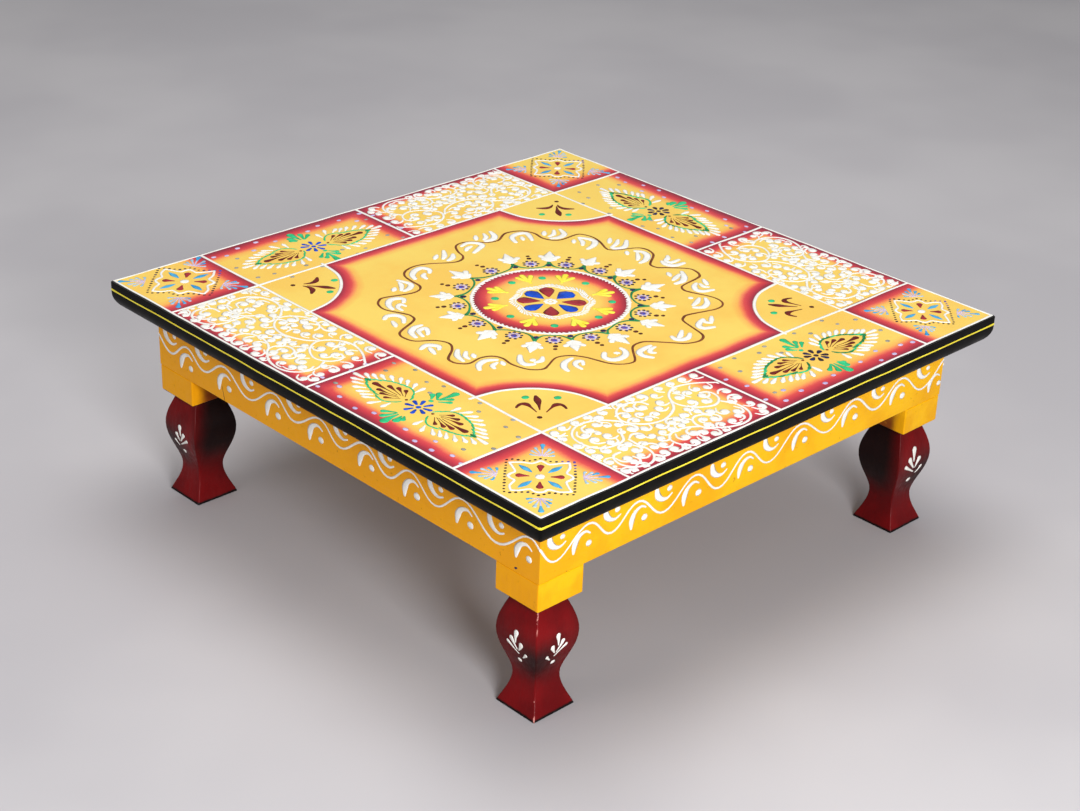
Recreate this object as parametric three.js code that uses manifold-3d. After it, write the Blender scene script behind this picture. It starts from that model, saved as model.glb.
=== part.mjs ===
// Bajot, a low square table of the South Asian kind, made of wood and painted all over.
// One thick board lies on a ring of four mitred rails, and a sawn leg stands in each corner of the ring.
// Wooden cleats inside the ring take the screws that hold the board down.
// Millimetres, +Z up. The origin is on the floor, under the middle of the board.

import * as THREE from "three";
import * as BufferGeometryUtils from "three/addons/utils/BufferGeometryUtils.js";
import Module from "manifold-3d";

// Overall sizes

const boardSide = 400;
const tableHeight = 150;

// The board: an upright land under its top face, then a quarter round that turns in to the underside

const boardThickness = 19.5;
const boardLandHeight = 7.5;
const boardRoundSegments = 8;

// The ring of rails, set back from the board's edge

const boardOverhang = 21;
const railHeight = 38.1;
const railThickness = 15;
const mitreGap = 0.3;

// The legs: a shaped foot, a square block under the rails, and a stub that stands inside the ring's corner

const blockSide = 34.6;
const blockHeight = 18.1;
const footBaseSide = 32.3;
const footWaistSide = 19.4;
const footBulgeSide = 33.6;
const footNeckSide = 19.8;
const legCurveSegments = 9;

// Heights on the foot's outline, as shares of the height from the floor to the block

const waistHeightShare = 0.278;
const bulgeHeightShare = 0.673;

// Curve handles on the foot's outline: how far each one lies along its stretch, as a share of that stretch

const baseHandleHeightShare = 0.32;
const baseHandleWidthShare = 0.41;
const waistHandleShare = 0.36;
const waistUpperHandleShare = 0.27;
const bulgeHandleShare = 0.41;
const bulgeUpperHandleShare = 0.39;
const neckHandleHeightShare = 0.28;
const neckHandleWidthShare = 0.33;

// The cleats, square battens in the corner between rail and board

const cleatSide = 16;
const cleatEndGap = 2;

// Countersunk wood screws

const screwDiameter = 4;
const screwHeadDiameter = 8;
const screwHeadHeight = 2.6;
const screwPointLength = 4;
const screwSegments = 12;
const screwGap = 0.3;
const cleatScrewLength = 25;
const legScrewLength = 30;
const boardScrewInset = 34;
const railScrewInset = 78;
const legScrewRise = 7;
const legScrewStep = 9.5;

// How far a cutting shape runs past the surface that it opens

const cutOverrun = 1;

// Places worked out from the sizes above

const boardUnderside = tableHeight - boardThickness;
const railUnderside = boardUnderside - railHeight;
const footHeight = railUnderside - blockHeight;
const ringHalf = boardSide / 2 - boardOverhang;
const ringInnerHalf = ringHalf - railThickness;
const legCentre = ringHalf - blockSide / 2;
const stubOuterOffset = railThickness - blockSide / 2;
const stubCentreOffset = (stubOuterOffset + blockSide / 2) / 2;
const stubInner = ringHalf - blockSide;
const cleatHalfLength = stubInner - cleatEndGap;
const cleatCentre = ringInnerHalf - cleatSide / 2;

// Finishes, one fresh material for each piece

const finishes = {
  boardPaint: { color: 0xf2b130, roughness: 0.32, metalness: 0 },
  railPaint: { color: 0xe9ae1e, roughness: 0.38, metalness: 0 },
  legPaint: { color: 0x861a20, roughness: 0.34, metalness: 0 },
  bareWood: { color: 0xb58a5a, roughness: 0.75, metalness: 0 },
  screwSteel: { color: 0xa8a9a6, roughness: 0.4, metalness: 1 },
};

function finish(name) {
  return new THREE.MeshStandardMaterial(finishes[name]);
}

// Closed meshes as solids that can be cut and joined, and back again

const wasm = await Module();
wasm.setup();

function solidOf(geometry) {
  const bare = geometry.clone();
  bare.deleteAttribute("normal");
  bare.deleteAttribute("uv");
  const merged = BufferGeometryUtils.mergeVertices(bare);
  return new wasm.Manifold(new wasm.Mesh({
    numProp: merged.attributes.position.itemSize,
    vertProperties: Float32Array.from(merged.attributes.position.array),
    triVerts: Uint32Array.from(merged.index.array),
  }));
}

function geometryOf(solid) {
  const mesh = solid.getMesh();
  const geometry = new THREE.BufferGeometry();
  geometry.setAttribute("position", new THREE.BufferAttribute(mesh.vertProperties, mesh.numProp));
  geometry.setIndex(new THREE.BufferAttribute(mesh.triVerts, 1));
  geometry.computeVertexNormals();
  return geometry;
}

// A shape square in plan at every height, as a saw leaves it after cutting one outline on two sides.
// The outline's x is the distance from the axis and its y is the height.

function squareFromOutline(outline, width, curveSegments) {
  const depth = width + 2 * cutOverrun;
  const slab = new THREE.ExtrudeGeometry(outline, { depth, bevelEnabled: false, curveSegments });
  slab.translate(0, 0, -depth / 2);
  const facingFront = new THREE.Matrix4().set(1, 0, 0, 0, 0, 0, -1, 0, 0, 1, 0, 0, 0, 0, 0, 1);
  const facingSide = new THREE.Matrix4().set(0, 0, 1, 0, 1, 0, 0, 0, 0, 1, 0, 0, 0, 0, 0, 1);
  const first = solidOf(slab.clone().applyMatrix4(facingFront));
  const second = solidOf(slab.clone().applyMatrix4(facingSide));
  return geometryOf(first.intersect(second));
}

// Countersunk wood screw, with its head's face at the origin and its point straight down along -Y

function screwOutline(length, gap, headOverrun) {
  const shankRadius = screwDiameter / 2 + gap;
  const headRadius = screwHeadDiameter / 2 + gap;
  const outline = [
    new THREE.Vector2(0, -length - gap),
    new THREE.Vector2(shankRadius, -length + screwPointLength),
    new THREE.Vector2(shankRadius, -screwHeadHeight),
    new THREE.Vector2(headRadius, 0),
  ];
  if (headOverrun > 0) {
    outline.push(new THREE.Vector2(headRadius, headOverrun));
  }
  outline.push(new THREE.Vector2(0, headOverrun));
  return outline;
}

function screwGeometry(length) {
  return new THREE.LatheGeometry(screwOutline(length, 0, 0), screwSegments);
}

function screwHoleGeometry(length) {
  return new THREE.LatheGeometry(screwOutline(length, screwGap, cutOverrun), screwSegments);
}

const table = new THREE.Group();
const screws = [];

// Adds a screw whose head lies at a point and whose shank runs along a direction, and notes what it holds

function addScrew(parent, name, length, head, direction, heldPieces) {
  const mesh = new THREE.Mesh(screwGeometry(length), finish("screwSteel"));
  mesh.name = name;
  mesh.position.copy(head);
  mesh.quaternion.setFromUnitVectors(new THREE.Vector3(0, -1, 0), direction);
  parent.add(mesh);
  screws.push({ mesh, length, heldPieces });
}

// The board

function boardOutline() {
  const half = boardSide / 2;
  const round = boardThickness - boardLandHeight;
  const outline = new THREE.Shape();
  outline.moveTo(-half + round, 0);
  outline.lineTo(half - round, 0);
  outline.absarc(half - round, round, round, -Math.PI / 2, 0, false);
  outline.lineTo(half, boardThickness);
  outline.lineTo(-half, boardThickness);
  outline.lineTo(-half, round);
  outline.absarc(-half + round, round, round, Math.PI, Math.PI * 1.5, false);
  return outline;
}

const board = new THREE.Mesh(
  squareFromOutline(boardOutline(), boardSide, boardRoundSegments),
  finish("boardPaint"),
);
board.name = "top_board";
board.position.z = boardUnderside;
table.add(board);

// The front rail, a trapezium in plan, mitred at both ends

function railGeometry() {
  const setBack = mitreGap / Math.SQRT2;
  const plan = new THREE.Shape();
  plan.moveTo(-ringHalf + setBack, -ringHalf);
  plan.lineTo(ringHalf - setBack, -ringHalf);
  plan.lineTo(ringInnerHalf - setBack, -ringInnerHalf);
  plan.lineTo(-ringInnerHalf + setBack, -ringInnerHalf);
  return new THREE.ExtrudeGeometry(plan, { depth: railHeight, bevelEnabled: false });
}

// The leg's outline as seen from the front, for the corner at -X and -Y.
// The stub is cut back on the outer side by a rail's thickness.

function legOutline() {
  const base = footBaseSide / 2;
  const waist = footWaistSide / 2;
  const bulge = footBulgeSide / 2;
  const neck = footNeckSide / 2;
  const block = blockSide / 2;
  const waistHeight = footHeight * waistHeightShare;
  const bulgeHeight = footHeight * bulgeHeightShare;
  const swell = bulgeHeight - waistHeight;
  const shoulder = footHeight - bulgeHeight;
  const baseHandle = {
    x: base - (base - waist) * baseHandleWidthShare,
    y: waistHeight * baseHandleHeightShare,
  };
  const waistLow = waistHeight * (1 - waistHandleShare);
  const waistHigh = waistHeight + swell * waistUpperHandleShare;
  const bulgeLow = bulgeHeight - swell * bulgeHandleShare;
  const bulgeHigh = bulgeHeight + shoulder * bulgeUpperHandleShare;
  const neckHandle = {
    x: neck + (bulge - neck) * neckHandleWidthShare,
    y: footHeight - shoulder * neckHandleHeightShare,
  };
  const outline = new THREE.Shape();
  outline.moveTo(-base, 0);
  outline.lineTo(base, 0);
  outline.bezierCurveTo(baseHandle.x, baseHandle.y, waist, waistLow, waist, waistHeight);
  outline.bezierCurveTo(waist, waistHigh, bulge, bulgeLow, bulge, bulgeHeight);
  outline.bezierCurveTo(bulge, bulgeHigh, neckHandle.x, neckHandle.y, neck, footHeight);
  outline.lineTo(block, footHeight);
  outline.lineTo(block, boardUnderside);
  outline.lineTo(stubOuterOffset, boardUnderside);
  outline.lineTo(stubOuterOffset, railUnderside);
  outline.lineTo(-block, railUnderside);
  outline.lineTo(-block, footHeight);
  outline.lineTo(-neck, footHeight);
  outline.bezierCurveTo(-neckHandle.x, neckHandle.y, -bulge, bulgeHigh, -bulge, bulgeHeight);
  outline.bezierCurveTo(-bulge, bulgeLow, -waist, waistHigh, -waist, waistHeight);
  outline.bezierCurveTo(-waist, waistLow, -baseHandle.x, baseHandle.y, -base, 0);
  return outline;
}

// One quarter of the frame: a rail with its cleat, the leg at the rail's left end, and their screws.
// The quarters turn about the table's centre, so the same code makes all four.

const quarters = [
  { side: "front", corner: "front_left" },
  { side: "right", corner: "front_right" },
  { side: "back", corner: "back_right" },
  { side: "left", corner: "back_left" },
];

const woodPieces = [board];

function addWood(parent, name, geometry, finishName) {
  const mesh = new THREE.Mesh(geometry, finish(finishName));
  mesh.name = name;
  parent.add(mesh);
  woodPieces.push(mesh);
  return mesh;
}

quarters.forEach(({ side, corner }, index) => {
  const quarter = new THREE.Group();
  quarter.rotation.z = index * Math.PI / 2;
  table.add(quarter);
  const nextSide = quarters[(index + quarters.length - 1) % quarters.length].side;

  const rail = addWood(quarter, `rail_${side}`, railGeometry(), "railPaint");
  rail.position.z = railUnderside;

  const cleatGeometry = new THREE.BoxGeometry(2 * cleatHalfLength, cleatSide, cleatSide);
  const cleat = addWood(quarter, `cleat_${side}`, cleatGeometry, "bareWood");
  cleat.position.set(0, -cleatCentre, boardUnderside - cleatSide / 2);

  const legGeometry = squareFromOutline(legOutline(), blockSide, legCurveSegments);
  const leg = addWood(quarter, `leg_${corner}`, legGeometry, "legPaint");
  leg.position.set(-legCentre, -legCentre, 0);

  [-1, 1].forEach((end, place) => {
    const boardScrewHead = new THREE.Vector3(
      end * (cleatHalfLength - boardScrewInset),
      -cleatCentre,
      boardUnderside - cleatSide,
    );
    const up = new THREE.Vector3(0, 0, 1);
    addScrew(quarter, `board_screw_${side}_${place + 1}`, cleatScrewLength, boardScrewHead, up, [
      cleat.name,
      board.name,
    ]);
    const railScrewHead = new THREE.Vector3(
      end * (cleatHalfLength - railScrewInset),
      -ringInnerHalf + cleatSide,
      boardUnderside - cleatSide / 2,
    );
    const outward = new THREE.Vector3(0, -1, 0);
    addScrew(quarter, `cleat_screw_${side}_${place + 1}`, cleatScrewLength, railScrewHead, outward, [
      cleat.name,
      rail.name,
    ]);
  });

  const stubCentre = -legCentre + stubCentreOffset;
  const lowHead = new THREE.Vector3(stubCentre, -stubInner, railUnderside + legScrewRise);
  addScrew(quarter, `leg_screw_${corner}_1`, legScrewLength, lowHead, new THREE.Vector3(0, -1, 0), [
    leg.name,
    rail.name,
  ]);
  const highHead = new THREE.Vector3(-stubInner, stubCentre, railUnderside + legScrewRise + legScrewStep);
  addScrew(quarter, `leg_screw_${corner}_2`, legScrewLength, highHead, new THREE.Vector3(-1, 0, 0), [
    leg.name,
    `rail_${nextSide}`,
  ]);
});

// Drills each wooden piece for the screws that hold it, with a clearance all round the screw

table.updateMatrixWorld(true);

woodPieces.forEach((piece) => {
  const toPiece = piece.matrixWorld.clone().invert();
  let solid = solidOf(piece.geometry);
  screws.filter((screw) => screw.heldPieces.includes(piece.name)).forEach((screw) => {
    const hole = screwHoleGeometry(screw.length);
    hole.applyMatrix4(toPiece.clone().multiply(screw.mesh.matrixWorld));
    solid = solid.subtract(solidOf(hole));
  });
  piece.geometry = geometryOf(solid);
});

export default table;
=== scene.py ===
import math
import random

import bmesh
import bpy
from mathutils import Matrix, Vector
from mathutils.geometry import interpolate_bezier


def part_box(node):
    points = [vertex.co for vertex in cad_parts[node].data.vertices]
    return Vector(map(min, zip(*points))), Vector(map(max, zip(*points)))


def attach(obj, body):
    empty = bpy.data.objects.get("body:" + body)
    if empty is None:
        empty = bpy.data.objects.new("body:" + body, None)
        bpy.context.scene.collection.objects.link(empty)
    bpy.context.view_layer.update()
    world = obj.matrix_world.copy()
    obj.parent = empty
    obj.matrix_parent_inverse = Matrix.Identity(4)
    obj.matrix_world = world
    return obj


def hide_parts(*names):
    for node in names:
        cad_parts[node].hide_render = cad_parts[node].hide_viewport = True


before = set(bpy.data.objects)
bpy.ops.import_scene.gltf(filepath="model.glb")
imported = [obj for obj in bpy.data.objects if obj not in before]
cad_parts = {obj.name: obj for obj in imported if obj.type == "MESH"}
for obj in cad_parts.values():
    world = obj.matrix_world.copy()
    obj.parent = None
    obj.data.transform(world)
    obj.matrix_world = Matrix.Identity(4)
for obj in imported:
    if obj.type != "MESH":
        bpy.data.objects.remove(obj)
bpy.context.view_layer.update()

# Floor, light and camera
#
# The table stands on a plain pale floor in a dim white room, under a soft lamp straight above, one at the
# front and a weak one at the left. It is seen from above its front left corner.

# Lengths are metres where a name ends in _M or a value comes from the model, and millimetres elsewhere
MM = 0.001

scene = bpy.context.scene
scene.view_settings.view_transform = "Standard"


def add_node(tree, kind, inputs=None, **settings):
    """Adds a shader node, sets its options, and fills or links its inputs by name or number."""
    made = tree.nodes.new("ShaderNode" + kind)
    for key, value in settings.items():
        setattr(made, key, value)
    for key, value in (inputs or {}).items():
        socket = made.inputs[key]
        if isinstance(value, bpy.types.NodeSocket):
            tree.links.new(value, socket)
        else:
            socket.default_value = value
    return made


def tint(red, green, blue):
    """A colour as read off a paint chart, 0 to 255, as the linear colour that a shader takes."""
    def linear(level):
        share = level / 255
        return share / 12.92 if share <= 0.04045 else ((share + 0.055) / 1.055) ** 2.4
    return (linear(red), linear(green), linear(blue), 1)


def blend(tree, factor, first, second, blend_type="MIX"):
    """Mixes two colours, given as colours or as sockets, and returns the mixed socket."""
    mixed = add_node(tree, "Mix", {0: factor, 6: first, 7: second}, data_type="RGBA", blend_type=blend_type)
    return mixed.outputs[2]


def noise(tree, place, scale, detail=2.0, roughness=0.5, distortion=0.0):
    """Cloudy variation, about 0.3 to 0.7, with features 1 / scale metres wide."""
    return add_node(tree, "TexNoise", {
        "Vector": place, "Scale": scale, "Detail": detail, "Roughness": roughness, "Distortion": distortion,
    }).outputs[0]


def window(tree, value, start, end, low=0.0, high=1.0):
    """Smooth step: low before start, high after end. Start may be the larger one."""
    return add_node(
        tree, "MapRange", {0: value, 1: start, 2: end, 3: low, 4: high}, interpolation_type="SMOOTHSTEP",
    ).outputs[0]


def mottle(tree, cloud, start, end, first, second, high=1.0):
    """The first colour where cloud is below start, and high of the second where it is above end."""
    return blend(tree, window(tree, cloud, start, end, 0.0, high), first, second)


def new_finish(name, roughness, coat=0.0, coat_roughness=0.1, specular=0.5, metallic=0.0):
    """A new material with its shader. Returns its tree, its shader and the object coordinates."""
    material = bpy.data.materials.new(name)
    material.use_nodes = True
    tree = material.node_tree
    shader = tree.nodes["Principled BSDF"]
    shader.inputs["Roughness"].default_value = roughness
    shader.inputs["Coat Weight"].default_value = coat
    shader.inputs["Coat Roughness"].default_value = coat_roughness
    shader.inputs["Specular IOR Level"].default_value = specular
    shader.inputs["Metallic"].default_value = metallic
    place = add_node(tree, "TexCoord").outputs["Object"]
    return material, tree, shader, place


def colour_with(tree, shader, colour, cloud=None, smooth=0.3, rough=0.5):
    """Gives a finish its colour, and patches of less and more gloss where a cloudy value is given."""
    tree.links.new(colour, shader.inputs["Base Color"])
    if cloud is not None:
        tree.links.new(window(tree, cloud, 0.3, 0.7, smooth, rough), shader.inputs["Roughness"])


FLOOR_HALF_M = 6.0
FLOOR_COLOUR = tint(202, 199, 202)
FLOOR_PATCH_COLOUR = tint(192, 189, 193)

floor_mesh = bpy.data.meshes.new("floor")
bm = bmesh.new()
bmesh.ops.create_grid(bm, x_segments=1, y_segments=1, size=FLOOR_HALF_M)
bm.to_mesh(floor_mesh)
bm.free()
floor = bpy.data.objects.new("floor", floor_mesh)
scene.collection.objects.link(floor)
floor_finish, tree, shader, place = new_finish("pale_floor", 0.75, specular=0.2)
patches = noise(tree, place, 3.0, 3.0)
colour_with(tree, shader, mottle(tree, patches, 0.35, 0.65, FLOOR_COLOUR, FLOOR_PATCH_COLOUR))
floor_mesh.materials.append(floor_finish)

ROOM_LIGHT = 0.28
ROOM_SEEN_COLOUR = tint(238, 240, 240)

world = bpy.data.worlds.new("room")
scene.world = world
world.use_nodes = True
tree = world.node_tree
room = tree.nodes["Background"]
room.inputs["Color"].default_value = (1, 1, 1, 1)
room.inputs["Strength"].default_value = ROOM_LIGHT
seen = add_node(tree, "Background", {"Color": ROOM_SEEN_COLOUR, "Strength": 1.0})
straight = add_node(tree, "LightPath").outputs["Is Camera Ray"]
chosen = add_node(tree, "MixShader", {0: straight, 1: room.outputs[0], 2: seen.outputs[0]})
tree.links.new(chosen.outputs[0], tree.nodes["World Output"].inputs["Surface"])

LAMP_AIM_M = Vector((0, 0, 0.12))
# Each lamp's width in metres, its power in watts and its place in metres
LAMPS = (
    ("softbox_above", 1.0, 13.8, Vector((0.15, 0.2, 1.6))),
    ("softbox_front", 0.5, 17.8, Vector((-0.6, -1.3, 0.65))),
    ("side_card", 0.6, 1.6, Vector((-1.2, 0.3, 0.7))),
)

for name, side, power, lamp_place in LAMPS:
    lamp = bpy.data.objects.new(name, bpy.data.lights.new(name, "AREA"))
    lamp.data.size = side
    lamp.data.energy = power
    lamp.location = lamp_place
    lamp.rotation_euler = (LAMP_AIM_M - lamp_place).to_track_quat("-Z", "Y").to_euler()
    scene.collection.objects.link(lamp)

# The camera's place, solved from the board's corners and the feet in the photograph

CAMERA_LENS = 68.08
CAMERA_FILM = 36.0
CAMERA_AZIMUTH = math.radians(-44.40)
CAMERA_ELEVATION = math.radians(26.87)
CAMERA_ROLL = math.radians(2.005)
CAMERA_DISTANCE_M = 1.3208
CAMERA_TARGET_M = Vector((-0.01338, -0.00602, 0.080))

back = Vector((
    math.sin(CAMERA_AZIMUTH) * math.cos(CAMERA_ELEVATION),
    -math.cos(CAMERA_AZIMUTH) * math.cos(CAMERA_ELEVATION),
    math.sin(CAMERA_ELEVATION),
))
level_right = (-back).cross(Vector((0, 0, 1))).normalized()
level_up = level_right.cross(-back)
camera_x = level_right * math.cos(CAMERA_ROLL) + level_up * math.sin(CAMERA_ROLL)
camera_y = level_up * math.cos(CAMERA_ROLL) - level_right * math.sin(CAMERA_ROLL)
camera = bpy.data.objects.new("camera", bpy.data.cameras.new("camera"))
camera.data.lens = CAMERA_LENS
camera.data.sensor_width = CAMERA_FILM
camera_turn = Matrix((camera_x, camera_y, back)).transposed().to_4x4()
camera.matrix_world = Matrix.Translation(CAMERA_TARGET_M + back * CAMERA_DISTANCE_M) @ camera_turn
scene.collection.objects.link(camera)
scene.camera = camera

# Legs
#
# Four square legs, each sawn from one piece of wood: a shaped foot, a block under the rails, and a stub
# glued and screwed in the ring's corner. The foot is painted dark red with black sprayed over its inner
# faces and waist, and the block is yellow like the rails.

CORNERS = ("front_left", "front_right", "back_right", "back_left")
BLOCK_HALF = 17.3
FOOT_BASE_HALF = 16.15
FOOT_WAIST_HALF = 9.7
FOOT_BULGE_HALF = 16.8
FOOT_NECK_HALF = 9.9
FOOT_HEIGHT = 74.3
WAIST_HEIGHT = 20.66
BULGE_HEIGHT = 50.0
STUB_SET_BACK = 15.0
ARRIS_WIDTH = 0.9
ARRIS_LEAST_TURN = 0.6
CURVE_STEPS = 10
# Heights on the leg between which its paint changes
BASE_LINE_M = (0.0028, 0.0018)
PALER_INNER_M = (0.006, 0.042)
BELT_M = 0.037
BELT_EDGES_M = (0.022, 0.003)
UNDER_BLOCK_M = (0.068, 0.0747)
LOW_WEAR_AND_HIGHLIGHT_M, HIGH_WEAR_AND_HIGHLIGHT_M = (0.016, 0.012), (0.057, 0.062)
PAINT_BORDER_M = (0.0745, 0.0749)
RUST_DUST_M = (0.094, 0.078)
BARE_STUB_M = (0.0932, 0.0941)

ring_low, ring_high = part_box("rail_front")
leg_low, leg_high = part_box("leg_front_left")
BOARD_UNDERSIDE = ring_high.z / MM
RAIL_UNDERSIDE = ring_low.z / MM
LEG_CENTRE = (leg_low.x + leg_high.x) / 2 / MM


def foot_places():
    """(half side, height) up the foot: out from the waist to the base, up to the bulge, in to the neck."""
    base, waist, bulge, neck = FOOT_BASE_HALF, FOOT_WAIST_HALF, FOOT_BULGE_HALF, FOOT_NECK_HALF
    swell = BULGE_HEIGHT - WAIST_HEIGHT
    shoulder = FOOT_HEIGHT - BULGE_HEIGHT
    stretches = (
        ((base, 0), (base - (base - waist) * 0.41, WAIST_HEIGHT * 0.32),
         (waist, WAIST_HEIGHT * 0.64), (waist, WAIST_HEIGHT)),
        ((waist, WAIST_HEIGHT), (waist, WAIST_HEIGHT + swell * 0.27),
         (bulge, BULGE_HEIGHT - swell * 0.41), (bulge, BULGE_HEIGHT)),
        ((bulge, BULGE_HEIGHT), (bulge, BULGE_HEIGHT + shoulder * 0.39),
         (neck + (bulge - neck) * 0.33, FOOT_HEIGHT - shoulder * 0.28), (neck, FOOT_HEIGHT)),
    )
    places = []
    for stretch in stretches:
        curve = interpolate_bezier(*(Vector(point) for point in stretch), CURVE_STEPS)
        places += curve if not places else curve[1:]
    return [(place.x, place.y) for place in places]


def raise_square(bm, top, low_corner, high_corner, height, first=False):
    """Extrudes the top face and sets its four corners to a new square. Returns the new top face."""
    made = bmesh.ops.extrude_face_region(bm, geom=[top])["geom"]
    if not first:
        bmesh.ops.delete(bm, geom=[top], context="FACES_ONLY")
    top = next(part for part in made if isinstance(part, bmesh.types.BMFace))
    middle = top.calc_center_median()
    for corner in top.verts:
        corner.co = Vector((
            (high_corner if corner.co.x > middle.x else low_corner) * MM,
            (high_corner if corner.co.y > middle.y else low_corner) * MM,
            height * MM,
        ))
    return top


def ease_arrises(bm, edges, width):
    """Takes the sharpness off edges, as sanding and paint do."""
    bmesh.ops.bevel(
        bm, geom=edges, offset=width * MM, offset_type="OFFSET", segments=3,
        profile=0.5, affect="EDGES", material=-1, clamp_overlap=True,
    )


def on_table(mesh):
    """Makes a mesh a piece of the same name that rides on the table."""
    piece = bpy.data.objects.new(mesh.name, mesh)
    scene.collection.objects.link(piece)
    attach(piece, "root")
    return piece


def to_piece(bm, name, finishes, replaced=(), quarter=0, crease=40.0, even=True):
    """Makes a finished bmesh a piece, turned by quarter turns about the table's axis."""
    bmesh.ops.transform(bm, matrix=Matrix.Rotation(quarter * math.pi / 2, 4, "Z"), verts=bm.verts)
    bmesh.ops.recalc_face_normals(bm, faces=bm.faces)
    mesh = bpy.data.meshes.new(name)
    bm.to_mesh(mesh)
    bm.free()
    for finish in finishes:
        mesh.materials.append(finish)
    mesh.shade_smooth()
    mesh.set_sharp_from_angle(angle=math.radians(crease))
    piece = on_table(mesh)
    if even:
        piece.modifiers.new("even_shading", "WEIGHTED_NORMAL").keep_sharp = True
    if replaced:
        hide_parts(*replaced)


def maths(tree, operation, first, second=0.0, third=0.0):
    """One step of arithmetic between values."""
    return add_node(tree, "Math", {0: first, 1: second, 2: third}, operation=operation).outputs[0]


def plus(tree, value, other, share=1.0):
    """A value with a share of another added."""
    return maths(tree, "MULTIPLY_ADD", other, share, value)


def swing(tree, cloud, amount):
    """Turns a cloudy value into one that swings about zero."""
    return maths(tree, "MULTIPLY", maths(tree, "SUBTRACT", cloud, 0.5), amount)


def stretched(tree, place, *stretch):
    """Coordinates in which a pattern is squeezed along each axis by its own factor."""
    return add_node(tree, "Mapping", {"Vector": place, "Scale": stretch}).outputs[0]


def roughen(tree, shader, height, distance):
    """Raises the surface by a height map, distance metres high at most."""
    bump = add_node(tree, "Bump", {"Height": height, "Distance": distance})
    tree.links.new(bump.outputs[0], shader.inputs["Normal"])


ALONG_X, ALONG_Y, ALONG_Z = (1.0, 9.0, 9.0), (9.0, 1.0, 9.0), (9.0, 9.0, 1.0)


def wood_grain(tree, place, run):
    """Colour and height of bare planed wood whose grain runs along one axis."""
    along = stretched(tree, place, *run)
    bands = noise(tree, along, 90.0, 4.0, 0.6, 0.6)
    pores = noise(tree, along, 420.0, 3.0, 0.7)
    light = mottle(tree, bands, 0.35, 0.65, tint(203, 164, 112), tint(170, 126, 78))
    colour = mottle(tree, pores, 0.58, 0.72, light, tint(118, 80, 46), high=0.55)
    return colour, plus(tree, pores, bands, 0.5)


YELLOW = tint(250, 190, 16)
YELLOW_DEEP = tint(240, 172, 10)
# A darker, warmer yellow: painted shade for the left and right faces
YELLOW_SIDE_SHADE = tint(246, 164, 10)
RED = tint(124, 12, 16)
RED_DEEP = tint(98, 9, 13)
BLACK_PAINT = tint(16, 12, 12)
RUST = tint(112, 44, 18)
# Pale pink on the foot's outer edge: worn paint, and partly a painted highlight
WEAR_AND_HIGHLIGHT = tint(226, 150, 140)
OCHRE = tint(196, 128, 20)

leg_paint, tree, shader, place = new_finish("leg_paint", 0.42, coat=0.02, coat_roughness=0.25, specular=0.1)
across = add_node(tree, "SeparateXYZ", {0: place}).outputs
outward_x, outward_y = (
    maths(tree, "SUBTRACT", maths(tree, "ABSOLUTE", across[axis]), abs(LEG_CENTRE) * MM) for axis in "XY"
)
height = across["Z"]
blotches = noise(tree, place, 38.0, 4.0)
fine = noise(tree, place, 260.0, 3.0, 0.65)

# The red, deeper in patches. Black is sprayed on the inner faces, less near the floor, and round the waist
red = mottle(tree, blotches, 0.35, 0.66, RED, RED_DEEP)
unevenness = swing(tree, blotches, 0.016)
facing_out = plus(tree, plus(tree, outward_x, outward_y), unevenness)
low_down = window(tree, plus(tree, height, unevenness), *PALER_INNER_M, 0.3, 1.0)
inner = maths(tree, "MULTIPLY", window(tree, facing_out, 0.009, -0.012, 0.0, 0.97), low_down)
from_arris = maths(tree, "ABSOLUTE", maths(tree, "SUBTRACT", outward_x, outward_y))
from_waist = maths(tree, "ABSOLUTE", maths(tree, "SUBTRACT", height, BELT_M))
belt_width = window(tree, from_arris, 0.03, 0.002, 0.1, 0.88)
belt = maths(tree, "MULTIPLY", window(tree, from_waist, *BELT_EDGES_M), belt_width)
under_block = window(tree, height, *UNDER_BLOCK_M, 0.0, 0.8)
dark = maths(tree, "MAXIMUM", inner, maths(tree, "MAXIMUM", belt, under_block))
foot = blend(tree, dark, red, BLACK_PAINT)
foot = mottle(tree, plus(tree, height, fine, 0.0012), *BASE_LINE_M, foot, BLACK_PAINT)

# Pale spots on the outer arris, near the floor and on the shoulder only: worn paint where the wood shows,
# and partly a painted highlight on the rounded edge
wear_and_highlight = maths(tree, "MULTIPLY", window(tree, from_arris, 0.0009, 0.0003), window(tree, fine, 0.5, 0.56))
wear_and_highlight = maths(tree, "MULTIPLY", wear_and_highlight, window(tree, facing_out, 0.01, 0.014))
wear_and_highlight_heights = maths(tree, "MAXIMUM", window(tree, height, *LOW_WEAR_AND_HIGHLIGHT_M), window(tree, height, *HIGH_WEAR_AND_HIGHLIGHT_M))
wear_and_highlight = maths(tree, "MULTIPLY", wear_and_highlight, maths(tree, "MULTIPLY", wear_and_highlight_heights, 0.8))
foot = blend(tree, wear_and_highlight, foot, WEAR_AND_HIGHLIGHT)

# The block's yellow is the rails' own, with the same painted shade on its left and right faces,
# rusty overspray on its inner faces and a ragged lower border
yellow = mottle(tree, blotches, 0.4, 0.62, YELLOW, YELLOW_DEEP)
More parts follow.
